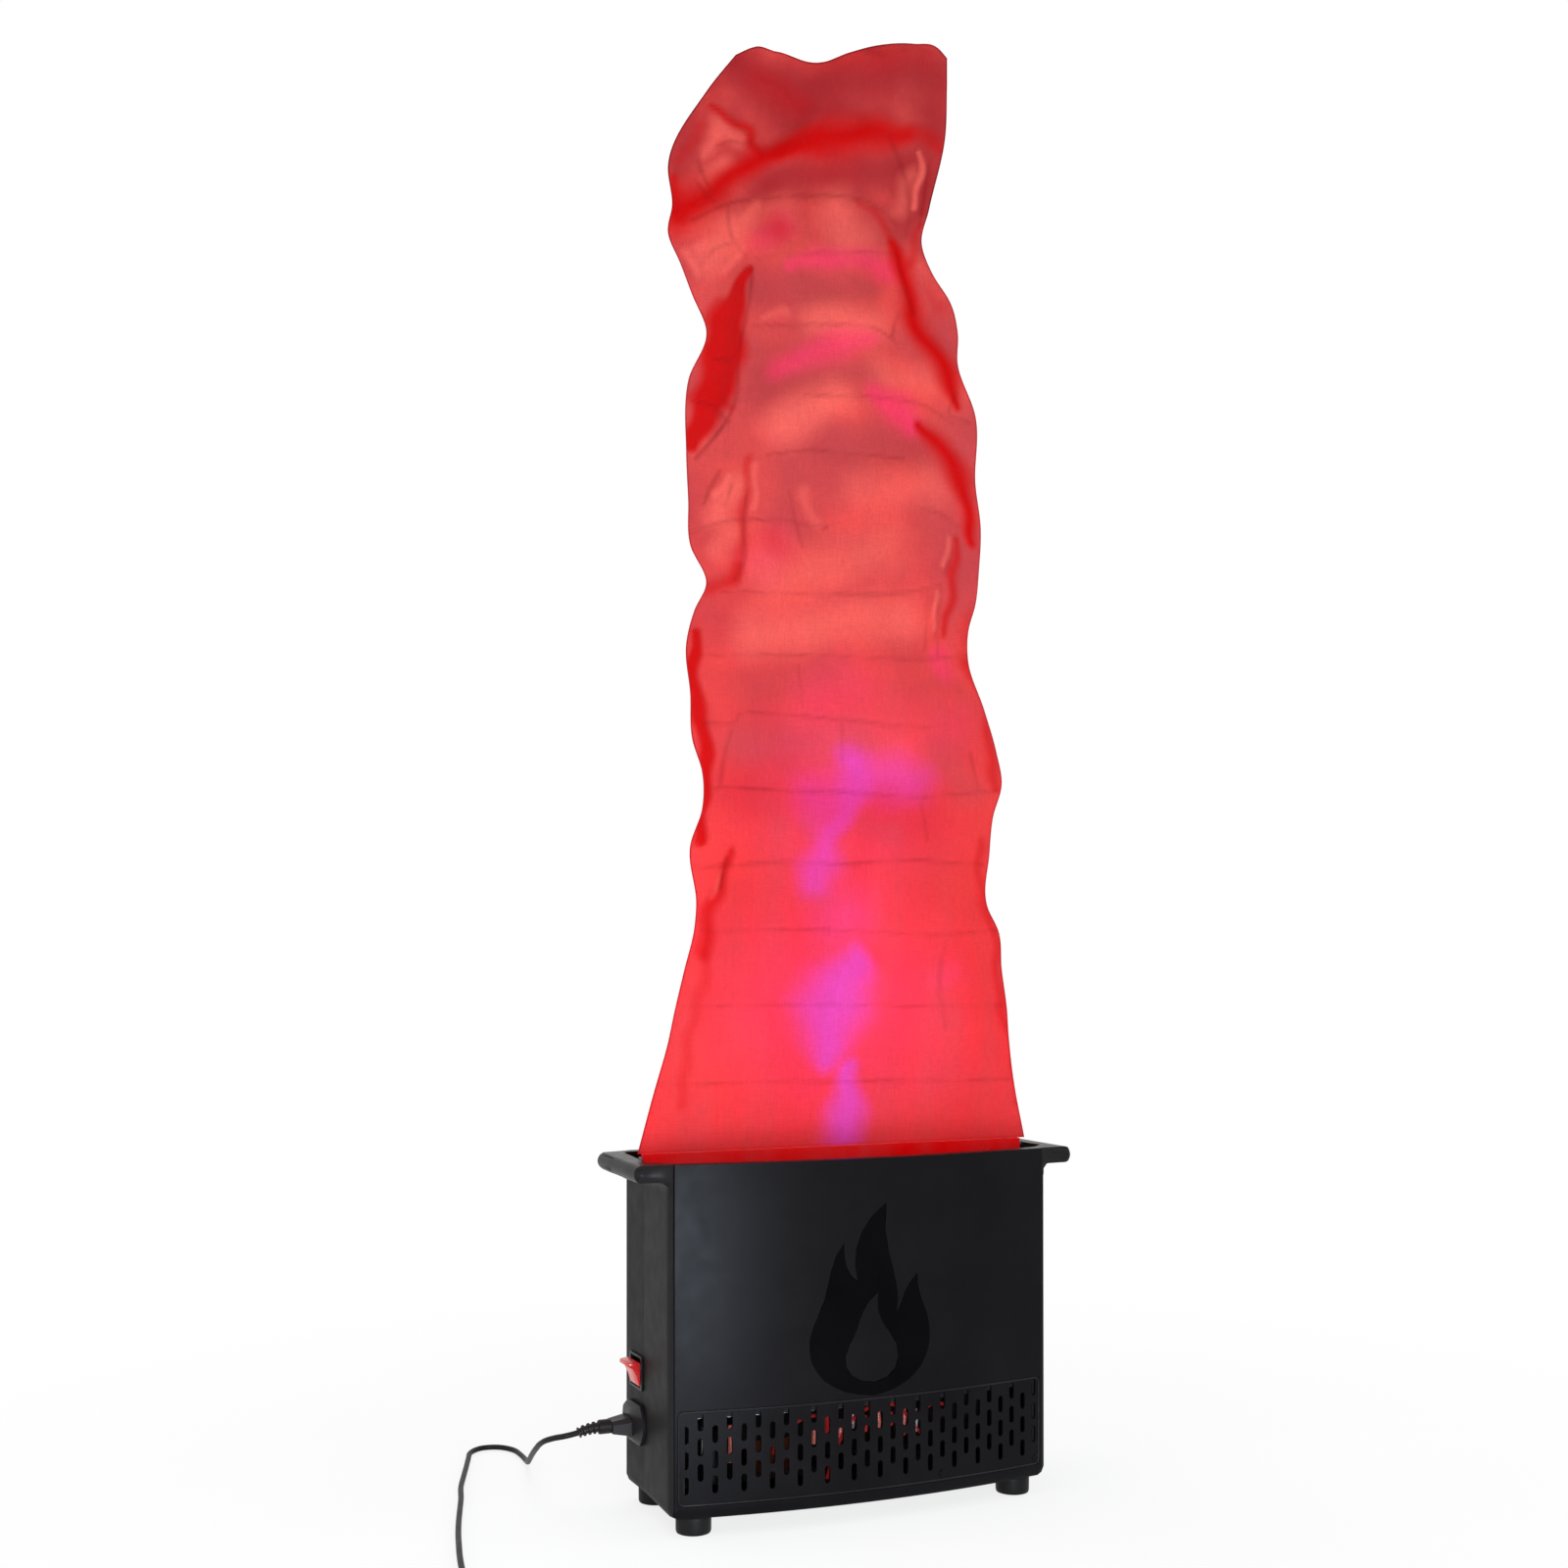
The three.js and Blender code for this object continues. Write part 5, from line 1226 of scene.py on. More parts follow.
@dataclass
class Silk:
    """The upright sheet of silk and its hem on the bar. Its marks, painted lamp light, painted highlights and
    painted shade, are drawn on a chart of the front view.
    """

    columns: int = 150
    rows: int = 330
    base: float = 322.3
    top: float = 1343
    half: float = 189
    thickness: float = 0.5
    wave: float = 9
    crease_share: float = 0.66
    hem_share: float = 0.04
    crease_sink: float = 2.2
    dense_rise: float = 3.5
    highlight_rise: float = 2.5
    shade_sink: float = 2.5
    edge_radius: float = 0.6
    edge_sides: int = 6
    flat_size: Spread = (0.34, 1.02)
    area: float = 0.31
    hem: Copy = Copy("silk_hem", "silk_hem_band", Paint.HEM, 0.3, 1)
    still_share: float = 0.12
    fold_count: float = 3
    fold_start: float = 0.5
    fold_sway: float = 0.9
    sway_rate: float = 5
    ripple_share: float = 0.35
    ripple_across: float = 7
    ripple_up: float = 4
    curl_depth: float = 13
    curl_power: int = 6
    curl_rate: float = 9
    nod_depth: float = 17
    nod_share: float = 0.18
    pucker_share: float = 0.09
    pucker_across: float = 23
    pucker_up: float = 17
    pucker_sway: float = 3
    crinkle_share: float = 0.07
    crinkle_across: float = 9
    crinkle_up: float = 41
    sag_share: float = 0.16
    sag_count: float = 13
    chart_left: float = 590
    chart_scale: float = 1.6
    side_waves: tuple[Point, ...] = ((5, 31, 57), (3, 12, -23))
    drop_waves: tuple[Point, ...] = ((5, 37, 71), (3, 15, 29))
    picture: float = 1600
    studio: Studio = field(default_factory=Studio)
    outline_shares: tuple[Point, ...] = (
        (0, -1.02, 1.03), (0.052, -0.94, 0.97), (0.095, -0.87, 0.94), (0.12, -0.84, 0.93),
        (0.157, -0.79, 0.9), (0.193, -0.74, 0.88), (0.214, -0.73, 0.82), (0.265, -0.76, 0.83),
        (0.298, -0.7, 0.85), (0.329, -0.7, 0.9), (0.358, -0.75, 0.87), (0.397, -0.76, 0.8),
        (0.44, -0.78, 0.71), (0.469, -0.74, 0.71), (0.494, -0.68, 0.75), (0.526, -0.76, 0.77),
        (0.565, -0.77, 0.78), (0.605, -0.78, 0.75), (0.668, -0.77, 0.75), (0.714, -0.68, 0.65),
        (0.743, -0.75, 0.65), (0.769, -0.81, 0.61), (0.793, -0.87, 0.51), (0.818, -0.85, 0.45),
        (0.852, -0.87, 0.49), (0.921, -0.68, 0.58), (0.968, -0.49, 0.59),
    )
    crest_shares: tuple[tuple[float, float], ...] = (
        (0, 0.968), (0.03, 0.9735), (0.15, 0.9755), (0.36, 0.9737), (0.51, 0.985), (0.64, 0.9933),
        (0.83, 1.0), (0.96, 1.0), (1, 0.995),
    )
    # Where the silk lies doubled in denser folds; their deeper red is painted lamp light
    dense: tuple[Stroke, ...] = (
        Stroke(((158, 345, 46), (195, 330, 40), (235, 300, 27), (280, 266, 22), (330, 246, 20),
                (390, 234, 24)), 1.0),
        Stroke(((340, 244, 19), (390, 233, 26), (440, 224, 30), (490, 215, 25),
                (534, 212, 16)), 1.0, soft_reach=1.7),
        Stroke(((510, 213, 18), (550, 218, 16), (575, 232, 14), (596, 250, 8)), 0.55),
        Stroke(((215, 180, 6), (245, 196, 8), (272, 208, 8), (287, 236, 10), (305, 248, 12)), 0.85),
        Stroke(((278, 448, 8), (262, 490, 16), (244, 540, 30), (230, 600, 36), (214, 660, 32),
                (190, 728, 14)), 0.95, 0.45), Stroke(((232, 498, 12), (216, 530, 14)), 0.6),
        Stroke(((455, 322, 4), (492, 344, 6), (508, 384, 8), (516, 410, 9)), 0.5),
        Stroke(((511, 398, 8), (522, 436, 16), (540, 490, 21), (566, 548, 22), (594, 600, 20),
                (612, 640, 15), (622, 672, 8)), 1.0),
        Stroke(((560, 372, 7), (548, 400, 8), (536, 440, 8)), 0.45),
        Stroke(((582, 430, 30), (596, 500, 20)), 0.3),
        Stroke(((560, 690, 9), (590, 730, 20), (616, 780, 22), (636, 830, 17), (648, 880, 10)), 1.0),
        Stroke(((275, 745, 7), (270, 800, 9), (272, 870, 10), (268, 920, 11), (250, 955, 12)), 0.5),
        Stroke(((360, 80, 26), (430, 96, 30), (560, 84, 30)), 0.3),
        Stroke(((300, 130, 30), (360, 170, 24)), 0.3),
        Stroke(((190, 1035, 10), (190, 1100, 14), (198, 1180, 14), (210, 1260, 14), (206, 1310, 12),
                (194, 1370, 10)), 0.95, 0.3),
        Stroke(((242, 1398, 8), (236, 1450, 11), (216, 1500, 14), (205, 1560, 12)), 0.8),
        Stroke(((205, 1560, 12), (192, 1640, 12), (180, 1720, 10), (160, 1800, 8)), 0.35),
        Stroke(((212, 965, 12), (244, 948, 14), (262, 925, 10)), 0.6),
        Stroke(((623, 880, 6), (612, 930, 9), (602, 980, 9), (594, 1034, 7)), 0.75),
        Stroke(((642, 1010, 20), (634, 1080, 16)), 0.35), Stroke(((150, 300, 12), (168, 350, 16)), 0.8),
        Stroke(((322, 378, 24),), 0.45), Stroke(((320, 890, 26),), 0.3), Stroke(((410, 240, 60),), 0.25),
        Stroke(((638, 1085, 10), (660, 1150, 12), (676, 1220, 12), (684, 1285, 10)), 0.6),
        Stroke(((652, 1370, 8), (664, 1470, 10), (682, 1570, 9), (700, 1680, 9), (722, 1800, 10)), 0.5),
        Stroke(((180, 655, 10), (215, 648, 12), (255, 668, 8)), 0.5),
        Stroke(((200, 210, 10), (160, 270, 10)), 0.3), Stroke(((268, 1290, 60), (560, 1330, 60)), 0.25),
    )
    # Painted violet lamp light on the silk
    lamps: tuple[Stroke, ...] = (
        Stroke(((448, 1240, 20), (452, 1290, 20)), 0.9, soft_reach=2.2),
        Stroke(((450, 1268, 26), (500, 1272, 30), (550, 1285, 24)), 0.6, soft_reach=2.4),
        Stroke(((432, 1300, 24), (404, 1310, 34), (378, 1300, 26)), 0.55, soft_reach=2.2),
        Stroke(((440, 1320, 16), (410, 1370, 18), (398, 1410, 26), (386, 1440, 22)), 0.75, soft_reach=2),
        Stroke(((462, 1568, 18), (440, 1600, 30), (415, 1640, 44), (404, 1680, 38),
                (408, 1722, 20)), 0.95, soft_reach=2),
        Stroke(((446, 1740, 12), (440, 1800, 22), (430, 1850, 28)), 0.95, soft_reach=2),
        Stroke(((430, 1500, 60),), 0.25),
    )
    # Painted pink lamp light on the silk
    pink_lamp_patches: tuple[Stroke, ...] = (
        Stroke(((350, 436, 8), (400, 418, 12), (455, 420, 16), (500, 446, 18)), 0.6, soft_reach=2.2),
        Stroke(((322, 596, 14), (380, 578, 20), (440, 560, 20), (480, 560, 12)), 0.6, soft_reach=2.2),
        Stroke(((485, 640, 12), (518, 665, 20), (546, 690, 16)), 0.75, soft_reach=2.2),
        Stroke(((590, 1065, 12), (602, 1100, 14)), 0.5, soft_reach=2.2),
        Stroke(((440, 1120, 50), (390, 1150, 50)), 0.2), Stroke(((598, 1600, 28),), 0.3),
        Stroke(((430, 1290, 170),), 0.45), Stroke(((425, 1640, 190),), 0.5),
        Stroke(((600, 1190, 50),), 0.2), Stroke(((296, 395, 24), (330, 372, 24)), 0.35),
        Stroke(((300, 920, 40), (330, 885, 30)), 0.25),
    )
    shades: tuple[Stroke, ...] = (
        Stroke(((262, 110, 40), (350, 140, 50), (470, 130, 50), (560, 110, 50)), 0.9),
        Stroke(((585, 110, 30), (575, 200, 36), (560, 270, 40), (545, 340, 30)), 0.6),
        Stroke(((300, 190, 40), (450, 185, 30)), 0.4),
        Stroke(((315, 300, 34), (410, 285, 40), (520, 268, 40)), 0.85),
        Stroke(((178, 215, 30), (160, 280, 20)), 0.5),
        Stroke(((300, 465, 30), (380, 462, 30), (470, 475, 24)), 0.7),
        Stroke(((300, 610, 36), (370, 622, 26), (480, 612, 28)), 0.7),
        Stroke(((410, 728, 40), (520, 715, 46), (600, 760, 40)), 0.85),
        Stroke(((572, 420, 30), (592, 520, 34), (606, 590, 20)), 0.7),
        Stroke(((335, 745, 30), (360, 850, 30)), 0.5),
        Stroke(((560, 830, 40), (625, 900, 40), (620, 980, 40)), 0.6),
        Stroke(((290, 1120, 50), (420, 1095, 40)), 0.4),
        Stroke(((262, 1212, 40), (350, 1222, 50), (455, 1208, 40)), 0.75), Stroke(((380, 1345, 24),), 0.6),
        Stroke(((465, 1340, 26), (512, 1362, 24)), 0.5), Stroke(((590, 1240, 40), (645, 1285, 34)), 0.5),
        Stroke(((312, 1290, 30), (322, 1350, 24)), 0.35), Stroke(((385, 1460, 30),), 0.3),
        Stroke(((640, 700, 30), (640, 800, 30)), 0.5), Stroke(((165, 380, 20), (185, 430, 26)), 0.35),
        Stroke(((580, 1600, 30), (600, 1660, 40)), 0.3), Stroke(((240, 1560, 40), (260, 1700, 40)), 0.2),
    )
    # Painted highlights where light catches the fold ridges, which also stand forward in the sheet
    painted_highlights: tuple[Stroke, ...] = (
        Stroke(((255, 375, 30), (215, 420, 34)), 0.7), Stroke(((420, 345, 40), (460, 390, 40)), 0.6),
        Stroke(((390, 515, 34), (480, 540, 34)), 0.7), Stroke(((420, 650, 34), (340, 690, 44)), 0.8),
        Stroke(((252, 790, 26), (225, 835, 30)), 0.7), Stroke(((470, 800, 44), (570, 795, 40)), 0.4),
        Stroke(((320, 945, 50), (500, 900, 50)), 0.5), Stroke(((290, 1035, 44), (520, 1010, 44)), 0.6),
        Stroke(((228, 205, 16), (262, 226, 16)), 0.6), Stroke(((542, 290, 20), (530, 345, 18)), 0.5),
        Stroke(((500, 610, 30), (560, 620, 30)), 0.5), Stroke(((190, 360, 30), (330, 345, 26)), 0.3),
        Stroke(((236, 268, 20), (215, 290, 18)), 0.6), Stroke(((600, 470, 18), (560, 440, 16)), 0.4),
        Stroke(((552, 250, 5), (560, 290, 7), (550, 340, 6)), 0.8),
        Stroke(((581, 962, 4), (577, 1020, 4)), 0.7), Stroke(((196, 400, 10), (222, 392, 12)), 0.6),
        Stroke(((240, 440, 10), (262, 410, 8)), 0.6), Stroke(((176, 408, 10), (190, 440, 10)), 0.5),
        Stroke(((284, 760, 6), (288, 830, 6)), 0.5), Stroke(((240, 770, 6), (222, 800, 8)), 0.7),
        Stroke(((292, 330, 10), (270, 352, 12)), 0.5), Stroke(((372, 806, 12), (388, 850, 12)), 0.35),
        Stroke(((236, 1430, 5), (222, 1470, 6)), 0.6), Stroke(((300, 520, 6), (340, 505, 8)), 0.4),
        Stroke(((610, 880, 5), (600, 920, 5)), 0.5), Stroke(((200, 250, 12), (222, 220, 12)), 0.5),
        Stroke(((470, 1230, 80),), 0.2), Stroke(((250, 870, 24), (230, 900, 20)), 0.5),
    )
    # Painted shade in the creases, which also sink into the sheet
    creases: tuple[Stroke, ...] = (
        Stroke(((185, 360, 3), (250, 331, 4), (330, 322, 4), (430, 320, 4), (480, 332, 4),
                (520, 366, 4)), 0.6), Stroke(((290, 421, 3), (400, 412, 4), (520, 411, 3)), 0.35),
        Stroke(((282, 532, 3), (400, 529, 4), (482, 535, 4), (522, 560, 3)), 0.45),
        Stroke(((370, 645, 3), (480, 648, 4), (560, 660, 4), (612, 692, 3)), 0.45),
        Stroke(((310, 742, 3), (380, 735, 4), (450, 740, 3), (530, 749, 4)), 0.45),
        Stroke(((178, 872, 3), (240, 851, 4), (330, 850, 3), (405, 861, 4)), 0.5),
        Stroke(((235, 965, 3), (400, 969, 4), (530, 968, 4), (592, 955, 3)), 0.45),
        Stroke(((200, 1071, 3), (300, 1068, 4), (450, 1072, 2), (560, 1076, 4), (632, 1071, 3)), 0.45),
        Stroke(((205, 1181, 3), (258, 1179, 4), (262, 1166, 3), (400, 1172, 4), (560, 1186, 3),
                (600, 1184, 3)), 0.4),
        Stroke(((205, 1285, 3), (350, 1290, 4), (460, 1294, 5), (540, 1301, 3), (682, 1291, 4)), 0.5),
        Stroke(((190, 1416, 3), (350, 1407, 4), (440, 1411, 4), (510, 1404, 3), (660, 1411, 4)), 0.5),
        Stroke(((200, 1519, 3), (400, 1518, 4), (480, 1521, 3), (590, 1526, 4), (680, 1518, 3)), 0.45),
        Stroke(((180, 1641, 3), (400, 1640, 4), (560, 1643, 3), (692, 1642, 3)), 0.4),
        Stroke(((130, 1769, 3), (400, 1766, 4), (702, 1762, 3)), 0.4),
        Stroke(((345, 800, 4), (355, 850, 4), (366, 892, 3)), 0.45),
        Stroke(((522, 515, 4), (512, 548, 4)), 0.5), Stroke(((592, 958, 4), (586, 1070, 3)), 0.35),
        Stroke(((284, 436, 4), (278, 500, 4), (262, 572, 4), (258, 650, 4), (240, 690, 4),
                (192, 748, 4)), 0.85), Stroke(((196, 262, 4), (206, 290, 4), (218, 312, 3)), 0.5),
        Stroke(((225, 238, 4), (250, 230, 4), (282, 236, 4)), 0.7),
        Stroke(((220, 178, 4), (262, 206, 4), (300, 250, 4)), 0.5),
        Stroke(((242, 1398, 4), (232, 1450, 3)), 0.7), Stroke(((610, 895, 4), (600, 935, 4)), 0.5),
        Stroke(((571, 960, 3), (566, 1060, 3)), 0.4),
        Stroke(((505, 216, 4), (530, 280, 5), (540, 330, 6), (534, 385, 5)), 0.5),
        Stroke(((572, 262, 3), (566, 310, 4), (556, 372, 4)), 0.6),
        Stroke(((588, 966, 3), (583, 1040, 3)), 0.5),
        Stroke(((264, 470, 12), (258, 540, 16), (246, 620, 16), (232, 680, 10)), 0.32),
        Stroke(((262, 575, 3), (244, 588, 4), (222, 584, 3)), 0.5),
        Stroke(((186, 655, 3), (214, 660, 4), (246, 690, 4)), 0.5),
        Stroke(((276, 800, 4), (270, 860, 5), (271, 915, 5), (256, 945, 4)), 0.6),
        Stroke(((232, 768, 4), (214, 800, 5), (206, 822, 3)), 0.5),
        Stroke(((252, 790, 3), (240, 826, 4)), 0.4),
        Stroke(((244, 338, 4), (250, 384, 5), (276, 420, 4)), 0.4),
        Stroke(((200, 430, 4), (226, 404, 4), (250, 398, 3)), 0.4),
        Stroke(((196, 300, 3), (210, 318, 4), (222, 330, 3)), 0.5),
        Stroke(((196, 246, 4), (200, 280, 5)), 0.5),
        Stroke(((300, 130, 3), (336, 144, 4), (352, 168, 3)), 0.3),
        Stroke(((470, 86, 4), (540, 80, 5), (600, 88, 4)), 0.35),
        Stroke(((618, 640, 3), (606, 676, 4), (640, 690, 3)), 0.4),
        Stroke(((560, 830, 3), (590, 838, 4), (624, 862, 3)), 0.4),
        Stroke(((360, 1085, 3), (366, 1150, 3)), 0.25), Stroke(((430, 1180, 4), (432, 1240, 3)), 0.25),
        Stroke(((560, 1310, 4), (570, 1370, 4)), 0.3),
        Stroke(((600, 1540, 5), (590, 1600, 5), (600, 1680, 4)), 0.3),
        Stroke(((252, 1190, 4), (238, 1240, 5), (232, 1280, 4)), 0.5),
        Stroke(((640, 1230, 4), (655, 1290, 4)), 0.4), Stroke(((268, 880, 4), (264, 950, 3)), 0.4),
        Stroke(((518, 408, 4), (530, 460, 4), (548, 512, 4)), 0.6),
    )

    def flow(self, knots: Sequence[float], values: Sequence[float], at: np.ndarray) -> np.ndarray:
        """Runs a smooth line through a table.

        Args:
            knots: Where the values are given.
            values: The values.
            at: Where they are wanted.

        Returns:
            The line's values.
        """
        x, y = np.asarray(knots, float), np.asarray(values, float)
        slope = np.gradient(y, x)
        at = np.clip(at, x[0], x[-1])
        index = np.clip(np.searchsorted(x, at, side="right") - 1, 0, len(x) - 2)
        gap = x[index + 1] - x[index]
        part = (at - x[index]) / gap
        rest = 1 - part
        return (y[index] * rest ** 2 * (1 + 2 * part) + y[index + 1] * part ** 2 * (1 + 2 * rest)
                + gap * part * rest * (slope[index] * rest - slope[index + 1] * part))

    def chart(self, x: np.ndarray, z: np.ndarray) -> tuple[np.ndarray, np.ndarray]:
        """Finds where places on the upright middle plane lie on the chart.

        Args:
            x: Places across the light.
            z: Heights.

        Returns:
            Places across and down the chart.
        """
        turn = math.radians(self.studio.camera_turn)
        away_x, away_y = x - self.studio.camera_place[0], -self.studio.camera_place[1]
        right = away_x * math.cos(turn) + away_y * math.sin(turn)
        ahead = away_y * math.cos(turn) - away_x * math.sin(turn)
        focal = self.studio.lens / self.studio.sensor * self.picture
        middle = self.picture / 2
        across = middle + focal * right / ahead
        down = middle + self.studio.shift * self.picture - focal * (z - self.studio.camera_place[2]) / ahead
        return (across - self.chart_left) * self.chart_scale, down * self.chart_scale

    def stray(self, across: np.ndarray, down: np.ndarray) -> tuple[np.ndarray, np.ndarray]:
        """Lets places on the chart wander a little, so that the marks look like cloth.

        Args:
            across: Places across the chart.
            down: Places down the chart.

        Returns:
            The places moved.
        """
        side = sum(reach * np.sin(down / wave + across / slant) for reach, wave, slant in self.side_waves)
        drop = sum(reach * np.sin(across / wave + down / slant) for reach, wave, slant in self.drop_waves)
        return across + side, down + drop

    def joint(self, strokes: Sequence[Stroke], across: np.ndarray, down: np.ndarray) -> np.ndarray:
        """Joins the masks of several marks.

        Args:
            strokes: The marks.
            across: Places across the chart.
            down: Places down the chart.

        Returns:
            The joint mask.
        """
        rest = np.ones_like(across)
        for stroke in strokes:
            rest = rest * (1 - stroke.mask(across, down))
        return 1 - rest

    def depth(self, across: np.ndarray, up: np.ndarray) -> np.ndarray:
        """Works out how far back the cloth's broad folds lie.

        Args:
            across: Shares of the cloth's width.
            up: Shares of its height.

        Returns:
            The depths in millimetres.
        """
        loose = np.clip(up / self.still_share, 0, 1)
        grow = loose ** 2 * (3 - 2 * loose)
        sway = self.fold_sway * np.sin(self.sway_rate * up)
        fold = np.sin(math.pi * (self.fold_count * across + sway + self.fold_start))
        ripple = self.ripple_share * np.sin(math.pi * (self.ripple_across * across - self.ripple_up * up))
        ends = (1 - across) ** self.curl_power - across ** self.curl_power
        curl = self.curl_depth * ends * np.cos(self.curl_rate * up)
        nod = self.nod_depth * (np.clip(up - (1 - self.nod_share), 0, 1) / self.nod_share) ** 2
        pucker = np.sin(self.pucker_across * across + self.pucker_sway * np.sin(self.pucker_up * up))
        crinkle = np.sin(self.crinkle_up * up + self.crinkle_across * across)
        fine = self.pucker_share * pucker + self.crinkle_share * crinkle
        sag = self.sag_share * np.sin(2 * math.pi * up * self.sag_count) * np.sin(math.pi * across)
        return grow * (self.wave * (fold + ripple + fine + sag) + curl - nod)

    def sheet(self, shop: Workshop) -> tuple[bpy.types.Object, list[Vector]]:
        """Makes the sheet with its marks.

        Args:
            shop: The workshop.

        Returns:
            The sheet, and the points along its free edge.
        """
        up, across = np.meshgrid(np.linspace(0, 1, self.rows + 1), np.linspace(0, 1, self.columns + 1),
                                 indexing="ij")
        crest = self.top * self.flow(*zip(*self.crest_shares), across)
        z = self.base + up * (crest - self.base)
        share = (z - self.base) / (self.top - self.base)
        heights, lefts, rights = zip(*self.outline_shares)
        left = self.half * self.flow(heights, lefts, share)
        right = self.half * self.flow(heights, rights, share)
        x = left + (right - left) * across
        chart = self.chart(x, z)
        wavy = self.stray(*chart)
        marks = {name: self.joint(strokes, *wavy) for name, strokes in (
            ("dense", self.dense), ("lamp", self.lamps), ("pink_lamp_light", self.pink_lamp_patches), ("shade", self.shades),
            ("pale", self.painted_highlights))}
        marks["crease"] = self.joint(self.creases, *chart)
        relief = (self.crease_sink * marks["crease"] - self.dense_rise * marks["dense"]
                  - self.highlight_rise * marks["pale"] + self.shade_sink * marks["shade"])
        y = self.depth(across, up) + np.clip(up / self.hem_share, 0, 1) * relief
        eye = self.studio.camera_place
        near = (y - eye[1]) / -eye[1]
        x, z = eye[0] + (x - eye[0]) * near, eye[2] + (z - eye[2]) * near
        spots = np.stack([x, y, z], axis=-1)
        width = self.columns + 1
        firsts = [row * width + step for row in range(self.rows) for step in range(self.columns)]
        faces = [(first, first + 1, first + width + 1, first + width) for first in firsts]
        mesh = bpy.data.meshes.new("silk_sheet")
        mesh.from_pydata((spots.reshape(-1, 3) * MM).tolist(), [], faces)
        mesh.polygons.foreach_set("use_smooth", [True] * len(mesh.polygons))
        for name, mask in marks.items():
            share_of = mask * (self.crease_share if name == "crease" else 1.0)
            mesh.attributes.new(name, "FLOAT", "POINT").data.foreach_set("value", share_of.ravel().tolist())
        piece = shop.keep(mesh, "silk_sheet")
        solid = piece.modifiers.new("cloth_thickness", "SOLIDIFY")
        solid.thickness = self.thickness * MM
        solid.offset = 0
        border = [spots[row, 0] for row in range(self.rows + 1)]
        border += [spots[-1, step] for step in range(1, self.columns)]
        border += [spots[row, -1] for row in range(self.rows, -1, -1)]
        return piece, [Vector(spot) for spot in border]

    def build(self, shop: Workshop) -> None:
        """Makes the silk.

        Args:
            shop: The workshop.
        """
        sheet, border = self.sheet(shop)
        shop.dress(sheet, Paint.SILK, nodes=("silk_flame",))
        rolled = shop.tube("silk_rolled_edge", border, [self.edge_radius] * len(border), self.edge_sides)
        rim = shop.dress(rolled, Paint.SILK_EDGE)
        hem = shop.copy(self.hem)


